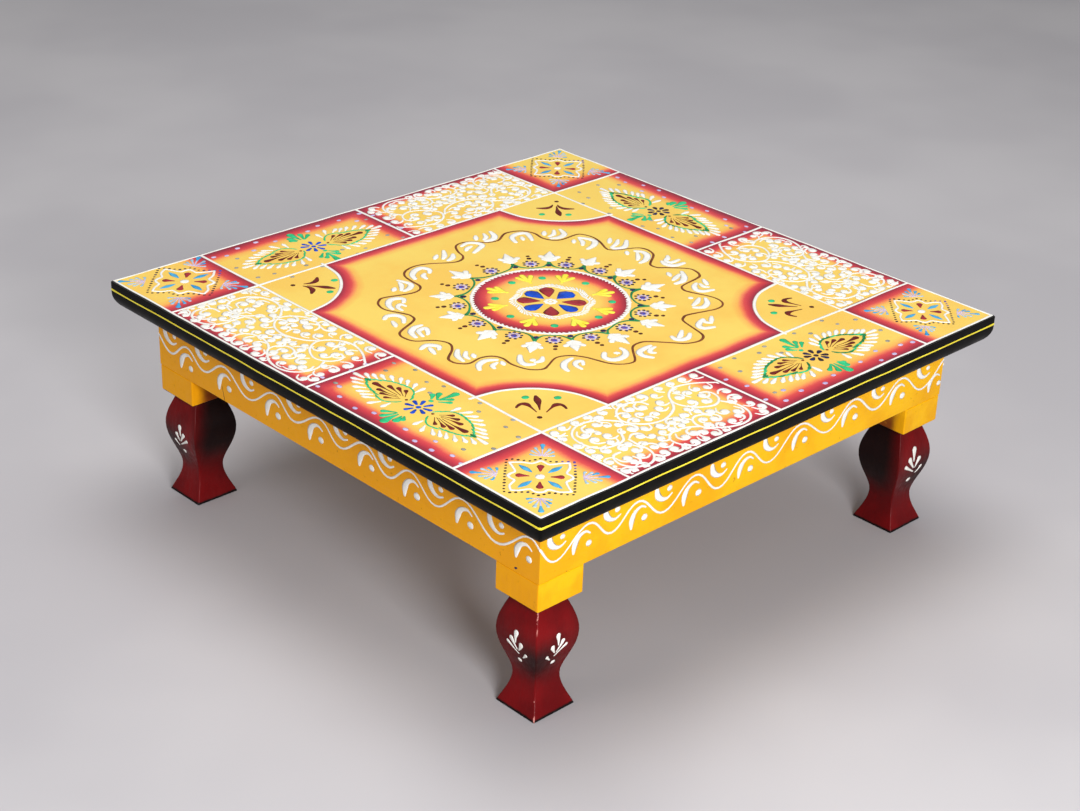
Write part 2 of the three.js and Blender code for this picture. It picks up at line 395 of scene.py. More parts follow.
# Painted shade: the block's left and right faces take the darker, warmer yellow of the side in shade
shaded_side_faces = maths(tree, "GREATER_THAN", outward_x, outward_y)
yellow = blend(tree, maths(tree, "MULTIPLY", shaded_side_faces, 0.8), yellow, YELLOW_SIDE_SHADE)
dusted = window(tree, facing_out, -0.001, -0.012)
dusted = maths(tree, "MULTIPLY", dusted, window(tree, height, *RUST_DUST_M, 0.55, 0.95))
block = blend(tree, dusted, yellow, RUST)
block = mottle(tree, fine, 0.64, 0.72, block, OCHRE, high=0.35)
ragged = plus(tree, plus(tree, height, swing(tree, blotches, 0.004)), swing(tree, fine, 0.0016))
paint = mottle(tree, ragged, *PAINT_BORDER_M, foot, block)
bare, _ = wood_grain(tree, place, ALONG_Z)
paint = mottle(tree, height, *BARE_STUB_M, paint, bare)
colour_with(tree, shader, paint, fine)
streaks = noise(tree, stretched(tree, place, 6.0, 6.0, 1.0), 60.0, 3.0)
roughen(tree, shader, plus(tree, streaks, fine, 0.4), 0.00022)

for quarter, corner in enumerate(CORNERS):
    bm = bmesh.new()
    bmesh.ops.create_grid(bm, x_segments=1, y_segments=1, size=FOOT_BASE_HALF * MM)
    bmesh.ops.translate(bm, vec=(LEG_CENTRE * MM, LEG_CENTRE * MM, 0), verts=bm.verts)
    top = next(iter(bm.faces))
    for step, (half, place_up) in enumerate(foot_places()[1:]):
        top = raise_square(bm, top, LEG_CENTRE - half, LEG_CENTRE + half, place_up, step == 0)
    top = raise_square(bm, top, LEG_CENTRE - BLOCK_HALF, LEG_CENTRE + BLOCK_HALF, FOOT_HEIGHT)
    top = raise_square(bm, top, LEG_CENTRE - BLOCK_HALF, LEG_CENTRE + BLOCK_HALF, RAIL_UNDERSIDE)
    stub = (LEG_CENTRE - BLOCK_HALF + STUB_SET_BACK, LEG_CENTRE + BLOCK_HALF)
    top = raise_square(bm, top, *stub, RAIL_UNDERSIDE)
    raise_square(bm, top, *stub, BOARD_UNDERSIDE)
    bmesh.ops.recalc_face_normals(bm, faces=bm.faces)
    arrises = [
        edge for edge in bm.edges if edge.is_convex and edge.calc_face_angle(0) > ARRIS_LEAST_TURN
    ]
    ease_arrises(bm, arrises, ARRIS_WIDTH)
    to_piece(bm, f"painted_leg_{corner}", [leg_paint], [f"leg_{corner}"], quarter)

# Rails
#
# The apron is four flat boards of the same wood, mitred at the corners, glued into the legs' rebates and
# under the board. They are painted yellow outside and underneath; inside, the wood is bare with some dust
# of yellow and red spray along the lower edge. Painted shade darkens the top of the outer faces under the
# board's overhang, and the left and right rails are a darker, warmer yellow as painted shade.

SIDES = ("front", "right", "back", "left")
RAIL_THICKNESS = 15.0
RAIL_ARRIS = 0.6
# The model's rails stop this short of the ring's corner for the glue line. The painted ones nearly meet
GLUE_SET_BACK = 0.2121
PAINTED_SET_BACK = 0.03
RING_HALF = ring_high.x / MM + GLUE_SET_BACK
# Heights, and distances from the table's axis, between which the paint changes
# The first pair bounds the painted shade under the board's overhang, darkest at the top
SHADE_UNDER_BOARD_M = (0.114, 0.13)
BARE_INSIDE_M = (0.1672, 0.1662)
SPRAYED_LOW_M = (0.107, 0.097)

rail_paint, tree, shader, place = new_finish(
    "rail_paint", 0.42, coat=0.03, coat_roughness=0.25, specular=0.12,
)
across = add_node(tree, "SeparateXYZ", {0: place}).outputs
sideways_x, sideways_y = (maths(tree, "ABSOLUTE", across[axis]) for axis in "XY")
outermost = maths(tree, "MAXIMUM", sideways_x, sideways_y)
blotches = noise(tree, place, 26.0, 4.0, 0.55)
fine = noise(tree, place, 300.0, 3.0, 0.65)
yellow = mottle(tree, blotches, 0.38, 0.64, YELLOW, YELLOW_DEEP)
runs_along_x = maths(tree, "GREATER_THAN", sideways_y, sideways_x)
# Painted shade: the left and right rails take a darker, warmer yellow, for the side that the lamps light
# less
side_shade_share = maths(tree, "MULTIPLY_ADD", runs_along_x, -0.8, 0.8)
yellow = blend(tree, side_shade_share, yellow, YELLOW_SIDE_SHADE)
# Painted shade: a darker orange band along the top of the outer faces, under the board's overhang
yellow = mottle(tree, across["Z"], *SHADE_UNDER_BOARD_M, yellow, tint(214, 128, 18), high=0.5)
yellow = mottle(tree, fine, 0.66, 0.74, yellow, tint(150, 92, 20), high=0.5)
wood_x, _ = wood_grain(tree, place, ALONG_X)
wood_y, _ = wood_grain(tree, place, ALONG_Y)
wood = blend(tree, runs_along_x, wood_y, wood_x)
sprayed = plus(tree, across["Z"], blotches, 0.012)
wood = mottle(tree, sprayed, *SPRAYED_LOW_M, wood, tint(196, 110, 30), high=0.8)
inward = plus(tree, outermost, blotches, 0.004)
colour_with(tree, shader, mottle(tree, inward, *BARE_INSIDE_M, yellow, wood), fine)
brushed_x = noise(tree, stretched(tree, place, 1.0, 8.0, 8.0), 55.0, 3.0)
brushed_y = noise(tree, stretched(tree, place, 8.0, 1.0, 8.0), 55.0, 3.0)
brushed = add_node(tree, "Mix", {0: runs_along_x, 2: brushed_y, 3: brushed_x}, data_type="FLOAT").outputs[0]
roughen(tree, shader, plus(tree, brushed, fine, 0.35), 0.00025)

for quarter, side in enumerate(SIDES):
    bm = bmesh.new()
    bmesh.ops.create_grid(bm, x_segments=1, y_segments=1, size=1)
    for vert in bm.verts:
        reach = RING_HALF if vert.co.y < 0 else RING_HALF - RAIL_THICKNESS
        end = math.copysign(reach - PAINTED_SET_BACK, vert.co.x)
        vert.co = Vector((end, -reach, RAIL_UNDERSIDE)) * MM
    raised = bmesh.ops.extrude_face_region(bm, geom=bm.faces[:])["geom"]
    lift = [part for part in raised if isinstance(part, bmesh.types.BMVert)]
    bmesh.ops.translate(bm, vec=(0, 0, (BOARD_UNDERSIDE - RAIL_UNDERSIDE) * MM), verts=lift)
    bmesh.ops.recalc_face_normals(bm, faces=bm.faces)
    long_edges = [edge for edge in bm.edges if abs(edge.verts[0].co.x - edge.verts[1].co.x) > 0.1]
    ease_arrises(bm, long_edges, RAIL_ARRIS)
    to_piece(bm, f"painted_rail_{side}", [rail_paint], [f"rail_{side}"], quarter)

# Cleats
#
# Square battens of plain sawn wood in the corner between the rails and the board, one along each side.
# They carry the screws that hold the board down, and are left unpainted. Their shape is the model's own.

CLEAT_EASE_M = 0.0006

cleat_finishes = []
for name, run in (("cleat_x", ALONG_X), ("cleat_y", ALONG_Y)):
    finish, tree, shader, place = new_finish(name, 0.78, specular=0.3)
    cleat_finishes.append(finish)
    colour, grain = wood_grain(tree, place, run)
    dust = noise(tree, place, 24.0, 3.0)
    colour_with(tree, shader, mottle(tree, dust, 0.55, 0.7, colour, tint(190, 120, 50), high=0.35))
    roughen(tree, shader, grain, 0.0005)

for quarter, side in enumerate(SIDES):
    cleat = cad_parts[f"cleat_{side}"]
    cleat.data.materials.clear()
    cleat.data.materials.append(cleat_finishes[quarter % 2])
    easing = cleat.modifiers.new("sawn_edges", "BEVEL")
    easing.width = CLEAT_EASE_M
    easing.segments = 2
    easing.limit_method = "ANGLE"
    easing.angle_limit = math.radians(60)

# Screws
#
# Countersunk steel wood screws with a cross recess, dull zinc. Their heads lie flush in the cleats and in
# the legs' stubs, and everything but the head is inside the wood.

SCREW_HEAD_RADIUS = 4.0
SCREW_SHANK_RADIUS = 2.0
SCREW_HEAD_DEPTH = 2.6
RECESS_ARM = 2.1
RECESS_HALF_WIDTH = 0.55
RECESS_DEPTH = 1.4
RECESS_TAPER = 0.7
SCREW_POINT_LENGTH = 4.0
SCREW_POINT_RADIUS = 0.15

steel, tree, shader, place = new_finish("dull_zinc", 0.38, metallic=1.0)
tarnish = noise(tree, place, 320.0, 4.0, 0.6)
zinc = mottle(tree, tarnish, 0.4, 0.7, tint(176, 176, 172), tint(128, 122, 112))
colour_with(tree, shader, zinc, tarnish, 0.28)
roughen(tree, shader, tarnish, 0.00006)


def draw_out(bm, edges):
    """Extrudes a loop of edges, and returns the new vertices and the new edges."""
    grown = bmesh.ops.extrude_edge_only(bm, edges=edges)["geom"]
    verts = [part for part in grown if isinstance(part, bmesh.types.BMVert)]
    return verts, [part for part in grown if isinstance(part, bmesh.types.BMEdge)]


def screw_shape(length):
    """A screw whose head's face is at the origin and whose point is down -Z. A cross is cut in the head."""
    bm = bmesh.new()
    bmesh.ops.create_circle(bm, segments=24, radius=SCREW_HEAD_RADIUS * MM)
    rim_edges = bm.edges[:]
    arm, half = RECESS_ARM, RECESS_HALF_WIDTH
    cross = []
    for quarter in range(4):
        for x, y in ((arm, -half), (arm, half), (half, half)):
            spot = Matrix.Rotation(quarter * math.pi / 2, 3, "Z") @ Vector((x, y, 0))
            cross.append(bm.verts.new(spot * MM))
    cross_edges = [bm.edges.new((cross[i - 1], cross[i])) for i in range(len(cross))]
    bmesh.ops.bridge_loops(bm, edges=rim_edges + cross_edges)
    sunk_verts, sunk_edges = draw_out(bm, cross_edges)
    for vert in sunk_verts:
        vert.co = Vector((vert.co.x * RECESS_TAPER, vert.co.y * RECESS_TAPER, -RECESS_DEPTH * MM))
    bmesh.ops.contextual_create(bm, geom=sunk_edges)
    loop = rim_edges
    for radius, depth in (
        (SCREW_SHANK_RADIUS, SCREW_HEAD_DEPTH), (SCREW_SHANK_RADIUS, length - SCREW_POINT_LENGTH),
        (SCREW_POINT_RADIUS, length),
    ):
        ring, loop = draw_out(bm, loop)
        for vert in ring:
            flat = vert.co.to_2d().normalized() * radius * MM
            vert.co = Vector((flat.x, flat.y, -depth * MM))
    bmesh.ops.contextual_create(bm, geom=loop)
    return bm


for name in sorted(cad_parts):
    if "_screw_" not in name:
        continue
    low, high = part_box(name)
    middle = (low + high) / 2
    span = high - low
    axis = max(range(3), key=lambda i: span[i])
    # A board screw points up, and the others point outwards
    points_to = Vector((0, 0, 0))
    points_to[axis] = 1.0 if axis == 2 else math.copysign(1.0, middle[axis])
    head = middle - points_to * span[axis] / 2
    bm = screw_shape(span[axis] / MM)
    turn = Vector((0, 0, -1)).rotation_difference(points_to).to_matrix().to_4x4()
    bmesh.ops.transform(bm, matrix=Matrix.Translation(head) @ turn, verts=bm.verts)
    to_piece(bm, f"zinc_{name}", [steel], [name], even=False)

# The board
#
# One thick board with an upright land and a quarter round worked under it. Its top is painted yellow
# and masked into panels, then sprayed from crimson through coral and orange back to yellow along some
# edges of each panel. Its moulded edge is gloss black, and the underside is left as wood.

TABLE_HEIGHT = 150.0
# The thickest paint stands up from the board to the table's full height
PAINT_BODY = 0.25
BOARD_HALF = 199.85
BOARD_TOP = TABLE_HEIGHT - PAINT_BODY
LAND_HEIGHT = 7.5
ROUND_RADIUS = 12.0
ROUND_STEPS = 8
PLAN_CORNER = 1.6
TOP_ARRIS, TOP_ARRIS_DROP = 0.3, 0.35
# Width of the top's cells, which carry the map of the spray
TOP_CELL = 5.0

# The lines between the panels, and the rim line
LEFT_LINE, RIGHT_LINE, FRONT_LINE, BACK_LINE = -131.4, 130.8, -128.9, 134.7
LEFT_MID, RIGHT_MID, FRONT_MID, BACK_MID = -0.5, -4.5, -7.2, -0.5
RIM_LINE = 197.0
BLACK_RIM = (197.2, 197.7)
# Along the right and back sides the rim line and the black lie nearer the edge, by this much
FAR_SIDE_SHIFT = 1.4
# Where the scroll panel of each side meets its leaf panel, turned to the front
PANEL_MIDS = (FRONT_MID, RIGHT_MID, -BACK_MID, -LEFT_MID)
ARC_RADIUS = 54.5
ARC_CENTRES = ((-133.9, -126.6), (129.2, -130.0), (132.4, 133.4), (-132.2, 136.0))
DISC_CENTRE = (-2.7, -1.3)
DISC_RADIUS = 50.0
# The spray fades over this width. In some places it fades faster: along the inner square's edges, and in
# each scroll panel, by one factor away from the rim and by another away from the panel's end
SPRAY_WIDTH = 22.0
SQUARE_FADE = 1.25
SCROLL_FADES = ((0.9, 0.9), (1.3, 1.05), (1.4, 1.15), (1.25, 0.95))
UNSPRAYED = 60.0
OUT_OF_REACH = 400.0


def turned_to_front(x, y, quarter):
    """A place on one side of the board, as it lies when that side is turned to the front."""
    return ((x, y), (y, -x), (-x, -y), (-y, x))[quarter]


def spray_reach(panel_x, panel_y, x, y):
    """Millimetres from the nearest sprayed edge of the panel that holds panel_x and panel_y."""
    front, right = panel_y < FRONT_LINE, panel_x > RIGHT_LINE
    back, left = panel_y > BACK_LINE, panel_x < LEFT_LINE
    if not (front or right or back or left):
        return min(x - LEFT_LINE, RIGHT_LINE - x, y - FRONT_LINE, BACK_LINE - y) * SQUARE_FADE
    if (left or right) and (front or back):
        inner_x = LEFT_LINE - x if left else x - RIGHT_LINE
        inner_y = FRONT_LINE - y if front else y - BACK_LINE
        return min(inner_x, inner_y)
    quarter = (front, right, back, left).index(True)
    along, out = turned_to_front(x, y, quarter)
    along -= PANEL_MIDS[quarter]
    if turned_to_front(panel_x, panel_y, quarter)[0] > PANEL_MIDS[quarter]:
        return min(RIM_LINE + out, along)
    rim_fade, end_fade = SCROLL_FADES[quarter]
    return min((RIM_LINE + out) * rim_fade, -along * end_fade)


# The spray's colours, from the masked edge inwards
SPRAY_COLOURS = (
    (0.0, (138, 30, 58)), (0.12, (172, 38, 62)), (0.24, (206, 52, 68)), (0.37, (226, 76, 76)),
    (0.48, (250, 138, 90)), (0.60, (253, 192, 92)), (0.85, (253, 218, 102)),
)

board_paint, tree, shader, place = new_finish(
    "board_paint", 0.36, coat=0.1, coat_roughness=0.18, specular=0.35,
)
place_mm = add_node(tree, "VectorMath", {0: place, "Scale": 1000.0}, operation="SCALE").outputs[0]
across = add_node(tree, "SeparateXYZ", {0: place_mm}).outputs
drift = noise(tree, place, 32.0, 3.0)
speckle = noise(tree, place, 900.0, 2.0, 0.8)
clouds = noise(tree, place, 14.0, 4.0, 0.6)
reach = add_node(tree, "UVMap", uv_map="spray_reach").outputs[0]
reach = add_node(tree, "SeparateXYZ", {0: reach}).outputs
disc_gap = add_node(
    tree, "VectorMath", {0: place_mm, 1: (*DISC_CENTRE, BOARD_TOP)}, operation="DISTANCE",
).outputs["Value"]
disc_reach = maths(tree, "SUBTRACT", DISC_RADIUS, disc_gap)
disc_reach = plus(tree, disc_reach, maths(tree, "LESS_THAN", disc_reach, 0.0), OUT_OF_REACH)
distance = maths(tree, "MINIMUM", reach["X"], maths(tree, "MINIMUM", reach["Y"], disc_reach))
distance = plus(tree, distance, maths(tree, "LESS_THAN", reach["Y"], 0.0), OUT_OF_REACH)
distance = plus(tree, distance, plus(tree, swing(tree, drift, 5.0), swing(tree, speckle, 2.0)))
spray = add_node(tree, "ValToRGB", {0: maths(tree, "DIVIDE", distance, SPRAY_WIDTH)})
ramp = spray.color_ramp
for number, (position, colour) in enumerate(SPRAY_COLOURS):
    stop = ramp.elements[number] if number < 2 else ramp.elements.new(position)
    stop.position = position
    stop.color = tint(*colour)
cloudy = mottle(tree, clouds, 0.36, 0.66, (1, 1, 1, 1), tint(252, 238, 226))
field = blend(tree, 1.0, spray.outputs[0], cloudy, "MULTIPLY")
out_x, out_y = (
    maths(
        tree, "MAXIMUM",
        maths(tree, "MULTIPLY", across[axis], -1.0), maths(tree, "SUBTRACT", across[axis], FAR_SIDE_SHIFT),
    )
    for axis in "XY"
)
rim_place = plus(tree, maths(tree, "MAXIMUM", out_x, out_y), speckle, 0.5)
colour_with(tree, shader, mottle(tree, rim_place, *BLACK_RIM, field, BLACK_PAINT), clouds, 0.28, 0.42)
roughen(tree, shader, plus(tree, speckle, clouds, 2.0), 0.00012)

edge_black, tree, shader, place = new_finish("edge_black", 0.45, specular=0.05)
smears = noise(tree, place, 70.0, 4.0, 0.6)
fine = noise(tree, place, 500.0, 3.0, 0.7)
black = mottle(tree, smears, 0.4, 0.7, tint(12, 11, 10), tint(22, 21, 19))
black = mottle(tree, fine, 0.7, 0.76, black, tint(120, 116, 110), high=0.3)
colour_with(tree, shader, black, smears, 0.36, 0.52)
roughen(tree, shader, smears, 0.00015)

under_wood, tree, shader, place = new_finish("under_wood", 0.75, specular=0.3)
colour, grain = wood_grain(tree, place, ALONG_X)
colour_with(tree, shader, colour)
roughen(tree, shader, grain, 0.0004)


def round_plan(bm, corners):
    """Rounds the board's corners in plan."""
    bmesh.ops.bevel(
        bm, geom=corners, offset=PLAN_CORNER * MM, offset_type="OFFSET", segments=4,
        profile=0.5, affect="VERTICES", material=-1, clamp_overlap=True,
    )


# How far each line of the edge lies inside the land, and below the top
edge_profile = [(0.0, TOP_ARRIS_DROP), (0.0, LAND_HEIGHT)]
for step in range(1, ROUND_STEPS + 1):
    angle = math.radians(90 * step / ROUND_STEPS)
    edge_profile.append((
        ROUND_RADIUS * (1 - math.cos(angle)), LAND_HEIGHT + ROUND_RADIUS * math.sin(angle),
    ))

bm = bmesh.new()
cells = int(round(2 * BOARD_HALF / TOP_CELL))
bmesh.ops.create_grid(bm, x_segments=cells, y_segments=cells, size=BOARD_HALF * MM)
bmesh.ops.translate(bm, vec=(0, 0, BOARD_TOP * MM), verts=bm.verts)
for normal, lines in (
    ((1, 0, 0), (LEFT_LINE, RIGHT_LINE, FRONT_MID, BACK_MID)),
    ((0, 1, 0), (FRONT_LINE, BACK_LINE, LEFT_MID, RIGHT_MID)),
):
    for line in lines:
        bmesh.ops.bisect_plane(
            bm, geom=bm.verts[:] + bm.edges[:] + bm.faces[:],
            plane_co=Vector(normal) * line * MM, plane_no=normal, dist=1e-6,
        )
round_plan(bm, [vert for vert in bm.verts if len(vert.link_edges) == 2])
top_faces = set(bm.faces)
outline = [edge for edge in bm.edges if edge.is_boundary]
bmesh.ops.scale(
    bm, vec=(1 - TOP_ARRIS / BOARD_HALF, 1 - TOP_ARRIS / BOARD_HALF, 1),
    verts=[vert for vert in bm.verts if vert.is_boundary],
)
for inset, below_top in edge_profile:
    ring, outline = draw_out(bm, outline)
    reach_now = max(max(abs(vert.co.x), abs(vert.co.y)) for vert in ring)
    shrink = (BOARD_HALF - inset) * MM / reach_now
    for vert in ring:
        vert.co = Vector((vert.co.x * shrink, vert.co.y * shrink, (BOARD_TOP - below_top) * MM))
for vert in ring:
    vert.co.z = BOARD_UNDERSIDE * MM
bottom = bmesh.ops.contextual_create(bm, geom=outline)["faces"]

# The map gives the shader two distances in mm: to the panel's sprayed edges, and to the quarter arcs
spray_layer = bm.loops.layers.uv.new("spray_reach")
for face in bm.faces:
    if face not in top_faces:
        face.material_index = 2 if face in bottom else 1
        continue
    middle = face.calc_center_median() / MM
    in_square = LEFT_LINE < middle.x < RIGHT_LINE and FRONT_LINE < middle.y < BACK_LINE
    for loop in face.loops:
        spot = loop.vert.co / MM
        arc_gap = min(math.hypot(spot.x - cx, spot.y - cy) - ARC_RADIUS for cx, cy in ARC_CENTRES)
        edge_gap = spray_reach(middle.x, middle.y, spot.x, spot.y)
        loop[spray_layer].uv = (edge_gap, arc_gap * SQUARE_FADE if in_square else UNSPRAYED)
finishes = [board_paint, edge_black, under_wood]
to_piece(bm, "painted_board", finishes, ["top_board"], even=False)

# Yellow line round the edge
#
# A thin line of yellow paint, pulled by hand along the middle of the black land right round the board. It
# runs a little thicker at the corners, where the brush slows down.

EDGE_LINE_DROP = 5.5
EDGE_LINE_WIDTH = 1.05
EDGE_LINE_BODY = 0.13
EDGE_LINE_CUTS = 70
# The stroke's section: how far each line stands out and lies above its middle, in heights and widths
EDGE_LINE_SECTION = ((0.0, -0.5), (1.0, -0.36), (1.0, 0.36), (0.0, 0.5), (-3.0, 0.0))
WOBBLE = 0.16
WOBBLE_RATES = (5, 11, 23, 37)
# Towards a corner, over the last part of each side, the line swells by half
SWELL, SWELL_FROM, SWELL_RUN = 0.5, 0.93, 0.07

line_yellow, tree, shader, place = new_finish("line_yellow", 0.4, coat=0.05, specular=0.3)
patchy = noise(tree, place, 90.0, 3.0)
colour_with(tree, shader, mottle(tree, patchy, 0.35, 0.65, tint(255, 240, 70), tint(246, 222, 50)))

dice = random.Random(11)
bm = bmesh.new()
bmesh.ops.create_grid(bm, x_segments=1, y_segments=1, size=(BOARD_HALF - 0.02) * MM)
round_plan(bm, bm.verts[:])
bmesh.ops.delete(bm, geom=bm.faces[:], context="FACES_ONLY")
straights = [edge for edge in bm.edges if edge.calc_length() > 0.1]
bmesh.ops.subdivide_edges(bm, edges=straights, cuts=EDGE_LINE_CUTS)
phases = [dice.uniform(0, 6.28) for _ in WOBBLE_RATES]
ring, loop = bm.verts[:], bm.edges[:]
first_loop = loop
for vert in ring:
    around = math.atan2(vert.co.y, vert.co.x)
    drift = sum(math.sin(around * rate + phase) for rate, phase in zip(WOBBLE_RATES, phases)) / 2
    vert.co.z = (TABLE_HEIGHT - EDGE_LINE_DROP + WOBBLE * drift) * MM
last_proud, last_level = 0.0, 0.0
for number, (proud, level) in enumerate(EDGE_LINE_SECTION):
    if number:
        ring, loop = draw_out(bm, loop)
    for vert in ring:
        along = min(abs(vert.co.x), abs(vert.co.y)) / (BOARD_HALF * MM)
        width = EDGE_LINE_WIDTH * (1 + SWELL * max(0.0, along - SWELL_FROM) / SWELL_RUN)
        vert.co.z += (level - last_level) * width * MM
        grow = 1 + (proud - last_proud) * EDGE_LINE_BODY / BOARD_HALF
        vert.co.x *= grow
        vert.co.y *= grow
    last_proud, last_level = proud, level
bmesh.ops.bridge_loops(bm, edges=loop + first_loop)
to_piece(bm, "edge_line", [line_yellow], crease=60.0, even=False)

# White lines on the top
#
# The rim line, the lines between the panels and the four quarter arcs are squeezed from a cone of thick
# white paint. They stand up a little from the board, and waver slightly as a hand does.

THICK_PAINTS = {
    "white": ((252, 251, 246), (240, 238, 230)),
    "sky": ((84, 180, 226), (46, 148, 206)),
    "mist": ((190, 214, 228), (140, 188, 214)),
    "lilac": ((216, 202, 234), (186, 172, 216)),
    "blue": ((10, 82, 210), (6, 58, 170)),
    "navy": ((34, 36, 92), (22, 22, 58)),
    "violet": ((104, 78, 172), (74, 56, 140)),
    "plum": ((54, 28, 50), (36, 18, 34)),
    "green": ((34, 150, 90), (20, 116, 64)),
    "mint": ((52, 208, 140), (34, 178, 112)),
    "maroon": ((118, 26, 18), (92, 18, 12)),
    "petal_red": ((170, 46, 54), (140, 32, 42)),
    "brown": ((136, 72, 34), (104, 50, 22)),
    "bistre": ((94, 38, 16), (66, 26, 12)),
    "lemon": ((255, 244, 84), (252, 230, 60)),
    "stone": ((170, 168, 160), (138, 136, 130)),
}
paints = {}
for name, (pale, deep) in THICK_PAINTS.items():
    paints[name], tree, shader, place = new_finish(f"thick_{name}", 0.42, coat=0.04, specular=0.22)
    streaky = noise(tree, place, 150.0, 4.0, 0.6)
    colour_with(tree, shader, mottle(tree, streaky, 0.36, 0.68, tint(*pale), tint(*deep)), streaky, 0.32)
    roughen(tree, shader, noise(tree, place, 700.0, 3.0), 0.00006)


def smooth_path(places, steps, fullness=1 / 6):
    """Joins a few (x, y, half width) places with a flowing curve."""
    spots = [Vector(place) for place in places]
    last = len(spots) - 1
    flowing = []
    for i in range(last):
        before, start, end, after = (spots[min(max(j, 0), last)] for j in range(i - 1, i + 3))
        leave, arrive = (end - before) * fullness, (after - start) * fullness
        flowing += interpolate_bezier(start, start + leave, end - arrive, end, steps + 1)[:-1]
    return flowing + spots[-1:]


def brush(*places, steps=3, fullness=1 / 6):
    """One stroke of thick paint through (x, y, width) places, with a round start and end."""
    line = smooth_path([(x, y, width / 2) for x, y, width in places], steps, fullness)
    caps = []
    for tip, inner in ((line[0], line[1]), (line[-1], line[-2])):
        away = (tip - inner).to_2d().normalized() * tip.z
        caps.append([
            Vector((tip.x + away.x * reach, tip.y + away.y * reach, tip.z * share))
            for reach, share in ((1.0, 0.12), (0.72, 0.7))
        ])
    return caps[0] + line + caps[1][::-1]


def stations(path, spacing):
    """Places at equal spacing along a path, each with the path's direction there."""
    found, due = [], 0.0
    for start, end in zip(path, path[1:]):
        run = (end - start).to_2d()
        while due < run.length:
            found.append((start.to_2d() + run * due / run.length, run.normalized()))
            due += spacing
        due -= run.length
    return found


def dot(x, y, size, stretch=0.06):
    """A round dot of paint."""
    return brush((x - size * stretch, y, size), (x + size * stretch, y, size), steps=1)


def drop(tail, head, width, bend=0.0, tip=0.5, belly=0.55):
    """A drop drawn from a fine tail to a full round head. Its middle may bend sideways."""
    tail, head = Vector(tail), Vector(head)
    middle = tail.lerp(head, 0.5) + (head - tail).orthogonal().normalized() * bend
    return brush((*tail, tip), (*middle, max(tip, width * belly)), (*head, width), steps=2)


def polar(centre, radius, degrees):
    """The point at a distance and an angle from a centre."""
    angle = math.radians(degrees)
    return (centre[0] + radius * math.cos(angle), centre[1] + radius * math.sin(angle))


def moved(strokes, turn=0.0, to=(0.0, 0.0), grow=1.0, flip=(1, 1)):
    """The same strokes mirrored, scaled, turned by degrees about the origin and carried to a place."""
    cosine, sine = math.cos(math.radians(turn)), math.sin(math.radians(turn))
    made = []
    for colour, line in strokes:
        points = []
        for point in line:
            x, y = point.x * flip[0] * grow, point.y * flip[1] * grow
            place = (x * cosine - y * sine + to[0], x * sine + y * cosine + to[1])
            points.append(Vector((*place, point.z * grow)))
        made.append((colour, points))
    return made


# How far paint stands up: on the top, by slot, and on the table's sides
RELIEFS = {"raised_white": PAINT_BODY, "raised_colours": 0.16}
SIDE_RELIEF = 0.2
SLOPE = 0.3
# A stroke starts six-sided and so comes out narrower than asked, which this makes good
SIX_SIDED = 1.15


def lay_paint(name, strokes, slot, stand=None, follow=None):
    """Makes strokes one piece of raised paint. Stand sets it on a side, and follow gives its form."""
    cone = bpy.data.curves.new(name, "CURVE")
    cone.dimensions = "3D"
    cone.twist_mode = "Z_UP"
    cone.bevel_depth = MM
    cone.bevel_resolution = 1
    cone.use_fill_caps = True
    used = []
    for colour, line in strokes:
        if colour not in used:
            used.append(colour)
            cone.materials.append(paints[colour])
        spline = cone.splines.new("POLY")
        spline.points.add(len(line) - 1)
        for point, spot in zip(spline.points, line):
            point.co = (spot.x * MM, spot.y * MM, 0, 1)
            point.radius = spot.z * SIX_SIDED
        spline.material_index = used.index(colour)
    drawn = bpy.data.objects.new(name + "_drawn", cone)
    scene.collection.objects.link(drawn)
    mesh = bpy.data.meshes.new_from_object(drawn.evaluated_get(bpy.context.evaluated_depsgraph_get()))
    bpy.data.objects.remove(drawn)
    relief = SIDE_RELIEF if stand else RELIEFS[slot]
    bm = bmesh.new()
    bm.from_mesh(mesh)
    bmesh.ops.remove_doubles(bm, verts=bm.verts, dist=1e-6)
    for vert in bm.verts:
        proud = relief * math.tanh(vert.co.z / MM * SLOPE / relief)
        base = follow(vert.co.y / MM) if follow else 0.0
        vert.co.z = (base + proud) * MM
    bmesh.ops.recalc_face_normals(bm, faces=bm.faces)
    bmesh.ops.transform(bm, matrix=stand or Matrix.Translation((0, 0, BOARD_TOP * MM)), verts=bm.verts)
    bm.to_mesh(mesh)
    bm.free()
    mesh.name = name
    mesh.shade_smooth()
    on_table(mesh)


def hand_line(start, end, width, dice, waver=0.35, pitch=22.0):
    """A long line squeezed along a straight edge: nearly straight, and nearly of one width."""
    start, end = Vector(start), Vector(end)
    count = max(2, int((end - start).length / pitch))
    side = (end - start).orthogonal().normalized()
    places = []
    for i in range(count + 1):
        spot = start.lerp(end, i / count) + side * dice.uniform(-waver, waver)
        places.append((spot.x, spot.y, width * dice.uniform(0.88, 1.14)))
    return brush(*places, steps=4)


RIM_PLACE = 197.25
RIM_WIDTH, RIM_WAVER, RIM_PITCH = 1.5, 0.25, 16.0
DIVIDER_WIDTH = 1.8
DIVIDER_INSET = 0.7
ARC_WIDTH, ARC_WAVER = (1.7, 2.1), 0.3

dice = random.Random(3)
lines = []
near, far = -RIM_PLACE, RIM_PLACE + FAR_SIDE_SHIFT
rim_corners = ((near, near), (far, near), (far, far), (near, far))
for number, start in enumerate(rim_corners):
    end = rim_corners[(number + 1) % 4]
    lines.append(("white", hand_line(start, end, RIM_WIDTH, dice, RIM_WAVER, RIM_PITCH)))

